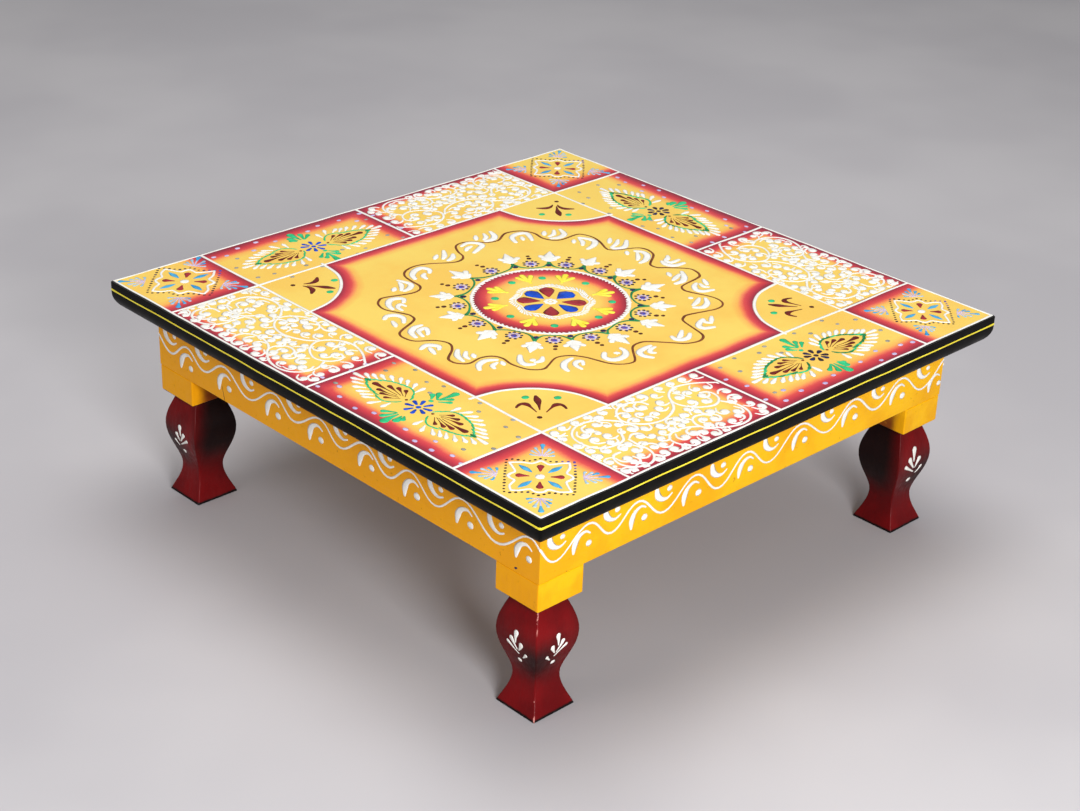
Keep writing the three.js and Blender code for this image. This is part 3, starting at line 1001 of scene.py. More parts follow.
# The lines between the panels start and end in the rim line. The left and front ones lean a little
near, far = near + DIVIDER_INSET, far - DIVIDER_INSET
for start, end in (
    ((LEFT_LINE, near), (LEFT_LINE + 0.6, far)), ((RIGHT_LINE, near), (RIGHT_LINE, far)),
    ((near, FRONT_LINE + 0.6), (far, FRONT_LINE - 1.4)), ((near, BACK_LINE), (far, BACK_LINE)),
    ((near, LEFT_MID), (LEFT_LINE, LEFT_MID)), ((RIGHT_LINE, RIGHT_MID), (far, RIGHT_MID)),
    ((FRONT_MID, near), (FRONT_MID, FRONT_LINE)), ((BACK_MID, BACK_LINE), (BACK_MID, far)),
):
    lines.append(("white", hand_line(start, end, DIVIDER_WIDTH, dice)))
for quarter, centre in enumerate(ARC_CENTRES):
    arc = []
    for angle in range(-1, 92, 23):
        spot = polar(centre, ARC_RADIUS + dice.uniform(-ARC_WAVER, ARC_WAVER), quarter * 90 + angle)
        arc.append((*spot, dice.uniform(*ARC_WIDTH)))
    lines.append(("white", brush(*arc, steps=8)))
lay_paint("panel_lines", lines, "raised_white")

# Stars in the corner squares
#
# Each corner square holds a white four-pointed star with lobed sides, light blue and dark red petals in
# it, a dotted line round it, and a light blue fern in each corner of the square.

# Angle, distance from the middle and width, between one tip of the star and the next
STAR_OUTLINE = (
    (11, 19.2, 1.4), (25, 15.3, 1.4), (35, 16.6, 1.5), (45, 17.8, 1.7), (55, 16.6, 1.5), (65, 15.3, 1.4),
    (79, 19.2, 1.4),
)
STAR_TIP, STAR_TIP_WIDTH = (21.8, 23.4), 1.4
SKY_PETAL = ((6.8, 0.8), (9.4, 2.4), (12.2, 3.3), (14.8, 2.3), (17.2, 0.8))
RED_PETAL = (6.2, 11.6, 4.0)
STAR_DOTS = ((12, 21.8), (27, 18.6), (45, 20.8), (63, 18.6), (78, 21.8), (90, 26.2))
STAR_DOTS_STRAIGHT = ((12, 22.8), (27, 20.2), (45, 19.4), (63, 20.2), (78, 22.8), (90, 26.2))
STAR_DOT_PITCH = 3.3
# Angle, length and head of each frond
FERN = (
    (0, 13.8, 3.1), (23, 9.6, 2.3), (-22, 9.6, 2.3), (46, 8.0, 2.1), (-45, 7.8, 2.1), (76, 6.6, 1.9),
    (-80, 6.6, 1.9),
)
FERN_FOOT = 23.6
SQUARE_MIDDLE, SQUARE_REACH = 164, 32


def star(dice):
    """The star and its petals, about the origin."""
    white, colours, ring = [], [], []
    tips = [
        (*polar((0, 0), dice.uniform(*STAR_TIP), turn + dice.uniform(-5, 5)), STAR_TIP_WIDTH)
        for turn in (0, 90, 180, 270)
    ]
    for quarter in range(4):
        turn = quarter * 90
        sides = [
            (*polar((0, 0), r + dice.uniform(-0.6, 0.6), a + turn), w * dice.uniform(0.9, 1.15))
            for a, r, w in STAR_OUTLINE
        ]
        white.append(("white", brush(tips[quarter], *sides, tips[(quarter + 1) % 4], steps=3)))
        lean = turn + dice.uniform(-3, 3)
        colours.append(("sky", brush(*((*polar((0, 0), r, lean), w) for r, w in SKY_PETAL), steps=2)))
        lean = turn + 45 + dice.uniform(-4, 4)
        tail, head = (polar((0, 0), r, lean) for r in RED_PETAL[:2])
        colours.append(("petal_red", drop(tail, head, RED_PETAL[2], tip=1.0)))
        dots = STAR_DOTS_STRAIGHT if quarter % 2 else STAR_DOTS
        ring += [(*polar((0, 0), r, a + turn), 0) for a, r in dots]
    for spot, _ in stations(smooth_path([ring[-1], *ring], 6), STAR_DOT_PITCH):
        paint = "violet" if spot.x > 19 else dice.choice(("plum", "plum", "plum", "navy"))
        colours.append((paint, dot(*spot, dice.uniform(1.2, 1.6), 0.15)))
    white.append(("white", dot(0, 0, 5.0)))
    return white, colours


def fern(dice):
    """A light blue fern with its foot at the origin, growing along +X."""
    made = []
    for angle, length, size in FERN:
        angle += dice.uniform(-4, 4)
        head = Vector(polar((0, 0), length * dice.uniform(0.93, 1.06), angle))
        neck = head * 0.62
        made.append(("lilac", brush((*(head * 0.1), 0.6), (*(head * 0.4), 0.8), (*neck, 1.1), steps=2)))
        paint = "sky" if length > 12 else dice.choice(("mist", "mist", "sky"))
        made.append((paint, drop(neck, head, size * dice.uniform(0.9, 1.1), angle / 200, tip=1.2)))
    return made


CORNER_STARS = (
    ("front_left", (-167.6, -165.4), 0.98), ("front_right", (168.4, -164.6), 0.95),
    ("back_right", (168.0, 169.5), 1.0), ("back_left", (-163.6, 169.6), 1.06),
)
for number, (corner, centre, grow) in enumerate(CORNER_STARS):
    dice = random.Random(20 + number)
    white, colours = star(dice)
    middle = Vector([math.copysign(SQUARE_MIDDLE, place) for place in centre])
    for across, along in ((1, 1), (-1, 1), (-1, -1), (1, -1)):
        way = middle + Vector((across, along)) * SQUARE_REACH - Vector(centre)
        aim = math.degrees(math.atan2(way.y, way.x))
        foot = polar((0, 0), FERN_FOOT, aim + dice.uniform(-3, 3))
        colours += moved(fern(dice), aim + dice.uniform(-5, 5), foot)
    lay_paint(f"star_white_{corner}", moved(white, 0, centre, grow), "raised_white")
    lay_paint(f"star_colours_{corner}", moved(colours, 0, centre, grow), "raised_colours")

# Scroll panels
#
# Half of each side is filled with white scrollwork: six vines that curl round, and about a hundred commas
# set close in and between them, until hardly half of the ground is left.

SCROLL_VINE_WIDTH = (1.4, 1.75)
SCROLL_VINES = (
    ((-7.6, -151), (-20, -142), (-32.7, -138.4), (-43, -143), (-48, -152.7), (-43, -163), (-32.7, -168.8),
     (-24.5, -165.5), (-21.5, -158.8), (-23, -154.5), (-26.7, -152.7)),
    ((-48, -149), (-54.4, -157), (-67.4, -162.3), (-79.5, -159.7), (-86.9, -151), (-86, -143.2),
     (-79.5, -136.3), (-70.9, -134.5), (-63, -138), (-61.3, -143.2)),
    ((-87.8, -148.4), (-96, -139.7), (-106.4, -136.1), (-115, -138), (-121.6, -144), (-123.7, -151.9),
     (-122.4, -159.7), (-117.7, -164.9), (-109.9, -166.6), (-102.9, -165.3), (-98.6, -159.7),
     (-94.3, -154.9)),
    ((-100.3, -165.7), (-100.8, -173.5), (-100.3, -180.5), (-102.9, -187.4), (-109, -192.2),
     (-115.9, -192.2), (-121.1, -189.6), (-124.4, -183.9), (-123.7, -177.9), (-120.3, -173.5),
     (-115.1, -173.1)),
    ((-58.7, -181.3), (-63.9, -178), (-70.9, -176.3), (-77.8, -177.2), (-82.4, -181.3), (-83, -186.5),
     (-80.8, -192.2)),
    ((-25, -167.9), (-21.5, -175.3), (-21.3, -182.2), (-23.6, -188.3), (-28.4, -193), (-35.3, -194.8),
     (-43.1, -193.5), (-49.2, -190.4), (-55.3, -185.7), (-58, -181.3), (-57.4, -176.1), (-54.8, -172.7),
     (-50.9, -171.1), (-45.7, -172.8), (-43.6, -177)),
)
# Left, right, rim and inner limits of the strokes in the front panel
SCROLL_ROOM = (-130.4, -8.6, -195.6, -129.9)
# Each panel's two ends and its inner edge, turned to the front
SCROLL_PANELS = (
    (LEFT_LINE, FRONT_MID, FRONT_LINE), (FRONT_LINE, RIGHT_MID, -RIGHT_LINE),
    (-RIGHT_LINE, -BACK_MID, -BACK_LINE), (-BACK_LINE, -LEFT_MID, LEFT_LINE),
)

# Each comma's head in the panel, its size, and the way its tail's end lies, negative if it turns clockwise
COMMAS = (
    (-127, -134.5, 6.0, 322), (-120, -131.8, 5.4, 338), (-109.6, -132, 5.6, 330),
    (-99.8, -131.6, 5.2, -250), (-88.8, -134, 5.4, -28), (-74, -132.9, 5.6, 200),
    (-63.2, -131.8, 5.6, 235), (-56.8, -133.6, 6.2, -215), (-41.9, -132.9, 5.6, 262),
    (-31.9, -132.7, 5.4, 290), (-22.3, -133, 5.8, 318), (-12.9, -134, 5.6, 303),
    (-50.4, -137.8, 4.8, 312), (-94.6, -137, 6.2, 255), (-81.6, -130.9, 4.0, 175),
    (-129, -142.6, 5.2, -20), (-109.9, -144.9, 5.8, -65), (-116, -147.4, 6.0, -95),
    (-108.4, -149.4, 4.6, 170), (-98.4, -147, 4.6, 70), (-102.4, -142.4, 5.4, 45),
    (-115.4, -154, 6.0, 290), (-106.4, -155.4, 6.0, 320), (-92.3, -150.2, 5.6, 75),
    (-90, -158.4, 6.6, 95), (-80.4, -145, 6.0, 150), (-80.8, -152, 6.0, 200), (-73.4, -141, 6.0, -60),
    (-73.4, -148.6, 5.0, 250), (-66.6, -144, 6.2, -80), (-74.4, -156, 5.8, -330), (-65.8, -154, 5.2, 215),
    (-60.2, -150.6, 5.4, 335), (-54.1, -146, 5.6, 320), (-40.9, -148.9, 5.8, 80),
    (-36.6, -143.2, 3.8, -45), (-32.3, -147.4, 5.4, 240), (-25.5, -147.6, 5.4, -85),
    (-18.2, -149.6, 5.0, 38), (-39.6, -157, 5.8, -205), (-28.4, -155.6, 5.8, 20), (-32.3, -162, 5.6, 60),
    (-13.4, -160.5, 6.0, 172), (-48.6, -161.9, 5.2, 40), (-128.6, -153.3, 5.4, 20),
    (-126.3, -162.3, 5.8, -10), (-110.6, -162, 5.6, 20), (-96.6, -158, 4.0, -60),
    (-84.4, -162.4, 5.6, 20), (-61.4, -166, 5.8, 30), (-127.6, -169.2, 5.8, 220),
    (-119.2, -168.3, 5.8, -50), (-110.4, -172, 5.8, -30), (-104.6, -169.8, 5.8, -110),
    (-93, -167.8, 6.6, 160), (-75.6, -166.2, 6.2, 15), (-67.4, -167.2, 5.8, -35),
    (-87.2, -171.6, 4.8, -120), (-79.7, -172.4, 5.0, 300), (-72.6, -172.8, 5.0, 300),
    (-65.5, -173.6, 5.2, 200), (-60, -171.7, 5.2, -300), (-96.8, -174.8, 5.2, 220),
    (-85.8, -177, 5.4, 330), (-106.4, -177.8, 5.8, 60), (-127.6, -177.7, 5.6, -30),
    (-117.2, -181.4, 6.2, -140), (-108.8, -183, 5.2, 335), (-96.3, -181.6, 5.8, 110),
    (-90.2, -182.6, 5.6, 335), (-129.2, -183.4, 3.6, 290), (-116.4, -186.6, 5.8, 50),
    (-128.4, -190.9, 5.6, -8), (-123.6, -192.8, 5.4, 230), (-114.6, -193, 5.4, 150),
    (-104.2, -193.2, 5.6, 70), (-96, -189, 6.0, -172), (-89.2, -190.2, 6.2, 5), (-83.4, -194, 4.6, 70),
    (-74, -184.6, 5.8, -105), (-66.8, -184.2, 6.2, -60), (-74.2, -191.8, 6.0, -160),
    (-66.4, -193.4, 5.0, -120), (-54.6, -166, 5.4, 250), (-45.4, -167.4, 5.6, 190),
    (-14.2, -170.1, 6.0, 170), (-40.2, -172.8, 6.4, -120), (-21.4, -171.4, 5.0, 60),
    (-50.5, -176.3, 5.4, 270), (-44.6, -180, 6.2, 60), (-33.4, -178.2, 6.2, -100),
    (-53, -182.9, 5.8, -200), (-27.6, -182.6, 6.2, 60), (-14.5, -180.2, 5.0, -175),
    (-12, -186.5, 5.6, -155), (-62, -187.4, 6.0, 250), (-46.4, -186.6, 5.4, 225),
    (-38.7, -187.7, 5.2, 312), (-31.4, -186.4, 5.4, -230), (-57.5, -192.6, 5.8, 70),
    (-16.3, -191.5, 5.4, -172), (-50.4, -193.8, 4.6, 60),
)
# Along a comma's tail: share of its turn, distance from the head's middle and width, in the head's size
COMMA_TAIL = ((0, 0.36, 0.6), (0.3, 0.6, 0.33), (0.65, 0.82, 0.26), (1, 1.08, 0.18))


def comma(head, size, aim, dice):
    """A comma: a round head whose tail winds round it once it has left, and ends the way of aim."""
    turn = math.copysign(dice.uniform(95, 125), aim)
    places = [(*head, size)]
    for share, reach, width in COMMA_TAIL:
        places.append((*polar(head, size * reach, abs(aim) - turn * (1 - share)), size * width))
    return brush(*places, steps=3)


for number, side in enumerate(SIDES):
    dice = random.Random(40 + number)
    strokes = []
    for vine in SCROLL_VINES:
        shift = (dice.uniform(-0.6, 0.6), dice.uniform(-0.6, 0.6))
        places = [(x + shift[0], y + shift[1], dice.uniform(*SCROLL_VINE_WIDTH)) for x, y in vine]
        strokes.append(("white", brush(*places, steps=5)))
    for x, y, size, aim in COMMAS:
        spot = (x + dice.uniform(-0.4, 0.4), y + dice.uniform(-0.4, 0.4))
        strokes.append(("white", comma(spot, size * dice.uniform(0.94, 1.04), aim, dice)))
    # The strokes are kept inside the front panel, and then stretched to fit this side's own
    start, end, inner = SCROLL_PANELS[number]
    stretch_x = (end - start) / (FRONT_MID - LEFT_LINE)
    stretch_y = (inner + RIM_LINE) / (FRONT_LINE + RIM_LINE)
    low_x, high_x, low_y, high_y = SCROLL_ROOM
    for _, line in strokes:
        for point in line:
            x = min(max(point.x, low_x + point.z), high_x - point.z)
            y = min(max(point.y, low_y + point.z), high_y - point.z)
            point.x = start + (x - LEFT_LINE) * stretch_x
            point.y = (y + RIM_LINE) * stretch_y - RIM_LINE
    lay_paint(f"scrollwork_{side}", moved(strokes, number * 90), "raised_white")

# Leaf panels
#
# The other half of each side has two pointed green leaves with dark red veins, a dark or blue flower
# between them and green sprigs above and below it. Short fat white strokes stand round each leaf like rays.

LEAF_ABOVE = (
    (-47, 0.5), (-42.5, 3.7), (-36.5, 8.2), (-30, 10.6), (-22.4, 11.8), (-16.4, 9.8), (-11.4, 4.6),
)
LEAF_BELOW = (
    (-47, 0.5), (-42, -3.0), (-36.5, -5.4), (-30, -7.0), (-24, -9.4), (-18.4, -9.0), (-12.2, -3.8),
)
LEAF_VEINS = (
    (-39.5, 0.6, 3.6), (-31.2, 4.6, 3.0), (-25.8, 7.0, 2.9), (-20.4, 8.0, 2.7), (-32.2, -2.8, 2.8),
    (-27.2, -4.8, 2.6), (-21.8, -6.4, 2.5),
)
LEAF_FOOT = (-13.0, 0.8)
SLIM_SHARE = 0.72
# The leaf's body is short green strokes at this spacing, and the white rays round it stand at these
BODY_PITCH = 4.4
RAY_PITCH, CLOSE_RAY_PITCH = 4.7, 4.1
RAY_LENGTH, RAY_HEAD = (6.2, 7.2), (2.9, 3.3)
SPRIGS = (
    ((0.3, 14.5), (1.2, 27.4), 4.3), ((-0.4, 14.4), (-5.2, 20.2), 3.6), ((1.0, 15.0), (5.0, 20.8), 3.2),
    ((-3.2, 12.4), (-6.8, 16.4), 3.6), ((2.6, 13.2), (7.4, 17.6), 3.0),
    ((-0.4, -14.6), (0.2, -25.6), 5.2), ((-2.4, -14.0), (-5.4, -22.2), 3.6),
    ((-3.0, -13.6), (-9.4, -18.4), 3.2), ((2.4, -14.6), (4.4, -20.2), 4.6),
    ((3.8, -13.6), (6.0, -16.8), 3.6),
)
# The flower's two paints, and how far its petals reach and how wide they are
DARK_FLOWER = ("navy", "plum", 6.8, 3.0)
BLUE_FLOWER = ("blue", "blue", 7.8, 2.5)
# The middle of each side's leaf panel, turned to the front
LEAF_PANEL_MIDDLES = ((65, -163.4), (62, -163.6), (64, -163.8), (61.5, -164.2))
STRAY_DOTS = (
    (23, -134.5), (8, -138), (50, -135), (40, -139.5), (12.5, -149), (-1.5, -151), (0.5, -164),
    (52, -147), (80, -133.5), (107, -133), (88, -141), (111, -142.5), (124.5, -145.5), (125, -166),
    (-3, -182), (7, -180), (12.5, -181.5), (4, -190.5), (22, -189), (40, -191.5), (51.5, -187),
    (78, -187), (90.5, -193), (105, -192), (98, -183), (116, -178.5), (118, -187), (127, -190),
)


def leaf(dice, slim):
    """One leaf, its tip at -47 along X and its foot towards the flower at the origin."""
    body = SLIM_SHARE if slim else 1.0
    white = [("white", brush((-49.6, 0.4, 1.4), (-53, 0.2, 2.4), (-57, 0.0, 3.0), steps=2))]
    colours = [("green", brush((-44, 0.8, 1.2), (-46.4, 0.5, 2.6), (-48, 0.4, 1.4), steps=2))]
    for rim, side in ((LEAF_ABOVE, 1), (LEAF_BELOW, -1)):
        path = smooth_path([(x, y, 0) for x, y in rim], 8)
        for spot, way in stations(path, BODY_PITCH):
            out = Vector((-way.y, way.x)) * side
            places = ((-0.6, 0.6, 0.9), (1.8, 0.5, dice.uniform(1.5, 2.1)), (4.8, -0.5, 1.0))
            scale = [(*(spot + way * along + out * off), width * body) for along, off, width in places]
            colours.append(("mint" if slim else dice.choice(("green", "mint")), brush(*scale, steps=2)))
        for spot, way in stations(path, RAY_PITCH if slim or side < 0 else CLOSE_RAY_PITCH)[:-1]:
            out = Vector((-way.y, way.x)) * side
            slant = (out - way * dice.uniform(0.58, 0.74)).normalized()
            length = dice.uniform(*RAY_LENGTH)
            head = dice.uniform(*RAY_HEAD)
            places = ((0.0, 1.5 * body), (0.45, 2.6 * body), (0.8, head), (1.0, 2.0))
            foot = spot + out * (1.4 if side > 0 else 2.4) + way * 1.4
            ray = [(*(foot + slant * length * share), width) for share, width in places]
            white.append(("white", brush(*ray, steps=2)))
    for x, y, size in LEAF_VEINS:
        tail = Vector((x, y)).lerp(Vector(LEAF_FOOT), 0.74 + dice.uniform(-0.04, 0.04))
        bend = dice.uniform(0, 0.6) * (-1 if y > 0.7 else 1)
        colours.append(("maroon", drop(tail, (x, y), size, bend, tip=0.45, belly=0.22)))
    colours.append(("maroon", dot(LEAF_FOOT[0] + 1.5, LEAF_FOOT[1], 1.8)))
    return white, colours


for number, side in enumerate(SIDES):
    dice = random.Random(60 + number)
    centre = LEAF_PANEL_MIDDLES[number]
    slim = side in ("left", "back")
    white, colours = [], []
    for flip in (1, -1):
        leaf_white, leaf_colours = leaf(dice, slim)
        white += moved(leaf_white, flip=(flip, 1))
        colours += moved(leaf_colours, flip=(flip, 1))
    *flower_paints, far, width = BLUE_FLOWER if slim else DARK_FLOWER
    for petal in range(8):
        angle = petal * 45 + 22 + dice.uniform(-5, 5)
        tail, head = polar((0, 0), 3.6, angle), polar((0, 0), far, angle)
        colours.append((flower_paints[petal % 2], drop(tail, head, width, tip=1.4, belly=0.8)))
    colours.append((flower_paints[1], dot(0, 0, 3.0)))
    for tail, head, width in SPRIGS:
        colours.append(("mint", drop(tail, head, width, dice.uniform(-0.5, 0.5), tip=1.1)))
    colours.append(("mint", dot(-1.4, 10.6, 2.4, 0.2)))
    white, colours = moved(white, 0, centre), moved(colours, 0, centre)
    for x, y in STRAY_DOTS:
        spot = (x + dice.uniform(-1, 1), y + dice.uniform(-1, 1))
        on_crimson = x < 3 or y < -180
        size = dice.uniform(2.3, 2.8) if on_crimson else dice.uniform(2.0, 2.5)
        colours.append(("lilac" if on_crimson else "stone", dot(*spot, size, 0.2)))
    lay_paint(f"leaf_rays_{side}", moved(white, number * 90), "raised_white")
    lay_paint(f"leaf_colours_{side}", moved(colours, number * 90), "raised_colours")

# Tridents in the quarter circles
#
# Three dark red strokes fan out of each corner of the inner square, with a dark dot at their foot and two
# green dots in front of them. The outer strokes are each other's mirror image.

TRIDENT_SIDE = (
    (15.4, 19.4, 0.7), (17.4, 25.9, 1.5), (18.1, 30.2, 3.6), (15.9, 32.4, 2.5), (12.6, 31.9, 1.7),
    (10.8, 31.0, 1.3),
)
TRIDENT_SIDE_BACK = ((16.2, 18.6, 0.8), (18.0, 23.0, 2.4), (17.2, 27.4, 3.4), (13.2, 31.4, 1.5))
TRIDENT_MIDDLE = ((18.6, 20.0, 0.7), (22.6, 24.4, 1.8), (26.4, 29.2, 4.0), (29.6, 33.8, 1.7))
FOOT_DOT = (11.8, 13.6, 2.9)
GREEN_DOTS = ((24.0, 36.6, 3.7, 0.15), (37.4, 23.6, 3.7, 0.15))
# Where each trident's foot stands, and which way it opens
TRIDENT_FEET = (
    (-131.4, -128.9, 1, 1), (130.8, -128.9, -1, 1), (130.8, 134.7, -1, -1), (-125.6, 134.2, 1, -1),
)

strokes = []
for cx, cy, fx, fy in TRIDENT_FEET:
    dice = random.Random(int(cx * 3 + cy))
    outer = TRIDENT_SIDE if fy > 0 else TRIDENT_SIDE_BACK
    sprung = [
        ("maroon", brush(*outer, steps=3)),
        ("maroon", brush(*((y, x, w) for x, y, w in outer), steps=3)),
        ("maroon", brush(*TRIDENT_MIDDLE, steps=3)),
        ("bistre", dot(*FOOT_DOT)),
        *(("mint", dot(*green)) for green in GREEN_DOTS),
    ]
    lean = dice.uniform(-3, 3)
    foot = (cx + dice.uniform(-0.6, 0.6), cy + dice.uniform(-0.6, 0.6))
    strokes += moved(sprung, lean, foot, 1.0, (fx, fy))
lay_paint("tridents", strokes, "raised_colours")

# Flower in the middle of the disc
#
# Eight fat petals, blue and dark red in turn, round a white heart, in a lobed white ring. Yellow tulips
# and green dots stand in turn round it on the disc.

HEART = (-4.0, -2.6)
LACE_CENTRE, LACE_RADIUS, LACE_LOOPS = (-2.8, -3.2), 22.6, 72
# Each petal's paint, angle, near and far end from the heart, and width
PETALS = (
    ("blue", 4, 6.2, 20.8, 10.8), ("petal_red", 54, 6.7, 22.4, 9.0),
    ("blue", 93, 5.8, 21.1, 9.3), ("petal_red", 134, 6.3, 21.4, 8.8),
    ("blue", 178, 6.2, 20.9, 8.4), ("petal_red", 228, 7.8, 22.2, 9.2),
    ("blue", 276, 6.9, 21.6, 8.4), ("petal_red", 314, 7.2, 23.0, 8.8),
)
HEART_RING, HEART_DOT, HEART_MIDDLE = 3.1, 2.7, 2.2
TULIP_AIMS = (32, 72, 116, 156, 206, 254, 295, 338)
TULIP_FOOT, TULIP_BASE = 31.2, 29.6
# Lean, length and width of each tulip's petals
TULIP_PETALS = ((0, 12.4, 4.0), (30, 9.8, 3.6), (-30, 9.8, 3.6))
DISC_DOTS = (
    (8, 36.7), (55, 35.7), (90, 36.2), (136, 35.3), (183, 36.6), (230, 38.6), (278, 38.4), (317, 39.3),
)

white, colours = [], []
dice = random.Random(80)
for colour, angle, near, far, width in PETALS:
    places = ((near + 0.6, 1.3), (near + (far - near) * 0.42, width * 0.74), (far - width / 2, width))
    colours.append((colour, brush(*((*polar(HEART, r, angle), w) for r, w in places), steps=4)))
for angle in range(0, 360, 45):
    white.append(("white", dot(*polar(HEART, HEART_RING, angle), HEART_DOT)))
white.append(("white", dot(*HEART, HEART_MIDDLE)))


def lobe(angle):
    """How far the white ring bulges at an angle: it has a lobe round each petal."""
    return 1.1 * math.cos(math.radians((angle - 5) * 8))


inner_ring = []
for angle in range(0, 361, 6):
    inner_ring.append((*polar(LACE_CENTRE, LACE_RADIUS + lobe(angle), angle), dice.uniform(0.9, 1.3)))
white.append(("white", brush(*inner_ring, steps=2)))
for number in range(LACE_LOOPS):
    angle = number * 360 / LACE_LOOPS + dice.uniform(-1, 1)
    inner = polar(LACE_CENTRE, LACE_RADIUS + 1.2 + lobe(angle), angle)
    outer = polar(LACE_CENTRE, LACE_RADIUS + 3.6 + lobe(angle + 6), angle + 6)
    white.append(("white", brush((*inner, 0.9), (*outer, dice.uniform(1.1, 1.4)), steps=2)))
for aim, (dot_angle, dot_radius) in zip(TULIP_AIMS, DISC_DOTS):
    foot = polar(DISC_CENTRE, TULIP_FOOT, aim)
    colours.append(("lemon", dot(*polar(DISC_CENTRE, TULIP_BASE, aim), 2.2)))
    for lean, reach, width in TULIP_PETALS:
        lean += dice.uniform(-4, 4)
        head = polar(foot, reach * dice.uniform(0.85, 1.0), aim + lean)
        colours.append(("lemon", drop(foot, head, width, tip=1.8, belly=0.8)))
    colours.append(("mint", dot(*polar(DISC_CENTRE, dot_radius, dot_angle), 4.6, 0.06)))
lay_paint("disc_flower_white", white, "raised_white")
lay_paint("disc_flower_colours", colours, "raised_colours")

# Rings round the disc
#
# A white ring twisted like a rope edges the disc. Outside it runs a green line in fourteen scallops. A
# white lotus stands on each of its points, and a dotted rosette on two brown dots hangs in each hollow.

ROPE_RADIUS, ROPE_WIDTH, ROPE_TWISTS = 50.5, 1.8, 100
# The points of the scalloped line, where the lotuses stand
CUSPS = (
    (-18, 56.5), (18, 56.5), (39, 44), (53, 25), (57, 0), (54, -25), (39, -47),
    (18, -59), (-10, -60), (-33, -52), (-52, -39), (-60, -12), (-59, 16), (-45, 41.5),
)
# Share of the way to the next point, distance from the disc's middle, and width
SCALLOP = ((0.12, 56.0, 1.7), (0.3, 53.4, 1.3), (0.5, 52.6, 1.2), (0.7, 53.4, 1.2), (0.88, 55.6, 1.3))
LOTUS_BUD = ((0, 1.4, 1.2), (0, 5.0, 3.8), (0, 9.0, 6.8), (0, 12.6, 4.4), (0, 16.8, 1.0))
LOTUS_SIDES = ((0.9, 5.0, 5.6, 9.0, 3.4), (0.6, 2.6, 3.6, 4.8, 2.4))
ROSETTE_RADIUS, ROSETTE_DOTS = 59.8, 9
# Distance from the rosette's middle, and size, of the two brown dots that it hangs on
BROWN_DOTS = ((8.9, 2.8), (12.9, 2.3))

dice = random.Random(81)
white, colours = [], []
ring = []
for angle in range(0, 361, 12):
    ring.append((*polar(DISC_CENTRE, ROPE_RADIUS + dice.uniform(-0.2, 0.2), angle), ROPE_WIDTH))
white.append(("white", brush(*ring, steps=3)))
for twist in range(ROPE_TWISTS):
    angle = twist * 360 / ROPE_TWISTS + dice.uniform(-0.5, 0.5)
    outer = polar(DISC_CENTRE, ROPE_RADIUS + 0.3 + dice.uniform(-0.3, 0.3), angle)
    inner = polar(DISC_CENTRE, ROPE_RADIUS - 1.5 + dice.uniform(-0.25, 0.25), angle - 1.6)
    white.append(("white", brush((*outer, ROPE_WIDTH), (*inner, 1.4), steps=1)))
polars = []
for x, y in CUSPS:
    out = Vector((x - DISC_CENTRE[0], y - DISC_CENTRE[1]))
    polars.append((out.length, math.degrees(math.atan2(out.y, out.x))))
for (cusp_radius, cusp_angle), (next_radius, next_angle) in zip(polars, polars[1:] + polars[:1]):
    gap = (next_angle - cusp_angle + 180) % 360 - 180
    hollow = cusp_angle + gap / 2
    scallop = [(*polar(DISC_CENTRE, cusp_radius + 0.3, cusp_angle), 2.4)]
    for share, radius, width in SCALLOP:
        radius += dice.uniform(-0.3, 0.3)
        scallop.append((*polar(DISC_CENTRE, radius, cusp_angle + gap * share), width))
    scallop.append((*polar(DISC_CENTRE, next_radius, next_angle), 1.3))
    colours.append(("green", brush(*scallop, steps=3)))
    spot = polar(DISC_CENTRE, cusp_radius - 4.6, cusp_angle)
    colours.append(("navy", dot(*spot, dice.uniform(3.1, 3.6), 0.12)))
    lotus = [("white", brush(*LOTUS_BUD, steps=4))]
    for flip in (1, -1):
        for x, y, end_x, end_y, size in LOTUS_SIDES:
            end = (end_x * flip * dice.uniform(0.92, 1.08), end_y)
            lotus.append(("white", drop((x * flip, y), end, size, tip=2.2, belly=0.9)))
    turn, grow = cusp_angle - 90 + dice.uniform(-10, 10), dice.uniform(0.98, 1.12)
    white += moved(lotus, turn, polar(DISC_CENTRE, cusp_radius, cusp_angle), grow)
    heart = polar(DISC_CENTRE, ROSETTE_RADIUS + dice.uniform(-0.8, 0.8), hollow)
    colours.append(("violet", dot(*heart, 3.6)))
    colours.append(("blue", dot(*polar(heart, 1.4, dice.uniform(200, 340)), 1.9)))
    for number in range(ROSETTE_DOTS):
        angle = number * 360 / ROSETTE_DOTS
        colours.append(("lilac", dot(*polar(heart, 3.1, angle + 18), 1.8)))
        spot = polar(heart, 4.8, angle + dice.uniform(-5, 5))
        colours.append((("navy", "plum")[number % 2], dot(*spot, dice.uniform(1.7, 2.1))))
    for outward, size in BROWN_DOTS:
        spot = polar(heart, outward, hollow + dice.uniform(-8, 8))
        colours.append(("bistre", dot(*spot, size, 0.12)))
lay_paint("ring_white", white, "raised_white")
lay_paint("ring_colours", colours, "raised_colours")

# Wavy line round the middle field
#
# A thin brown line swings in and out thirteen times round the ornament. A group of two or three white
# commas, set one inside the other, lies in each of its bends.

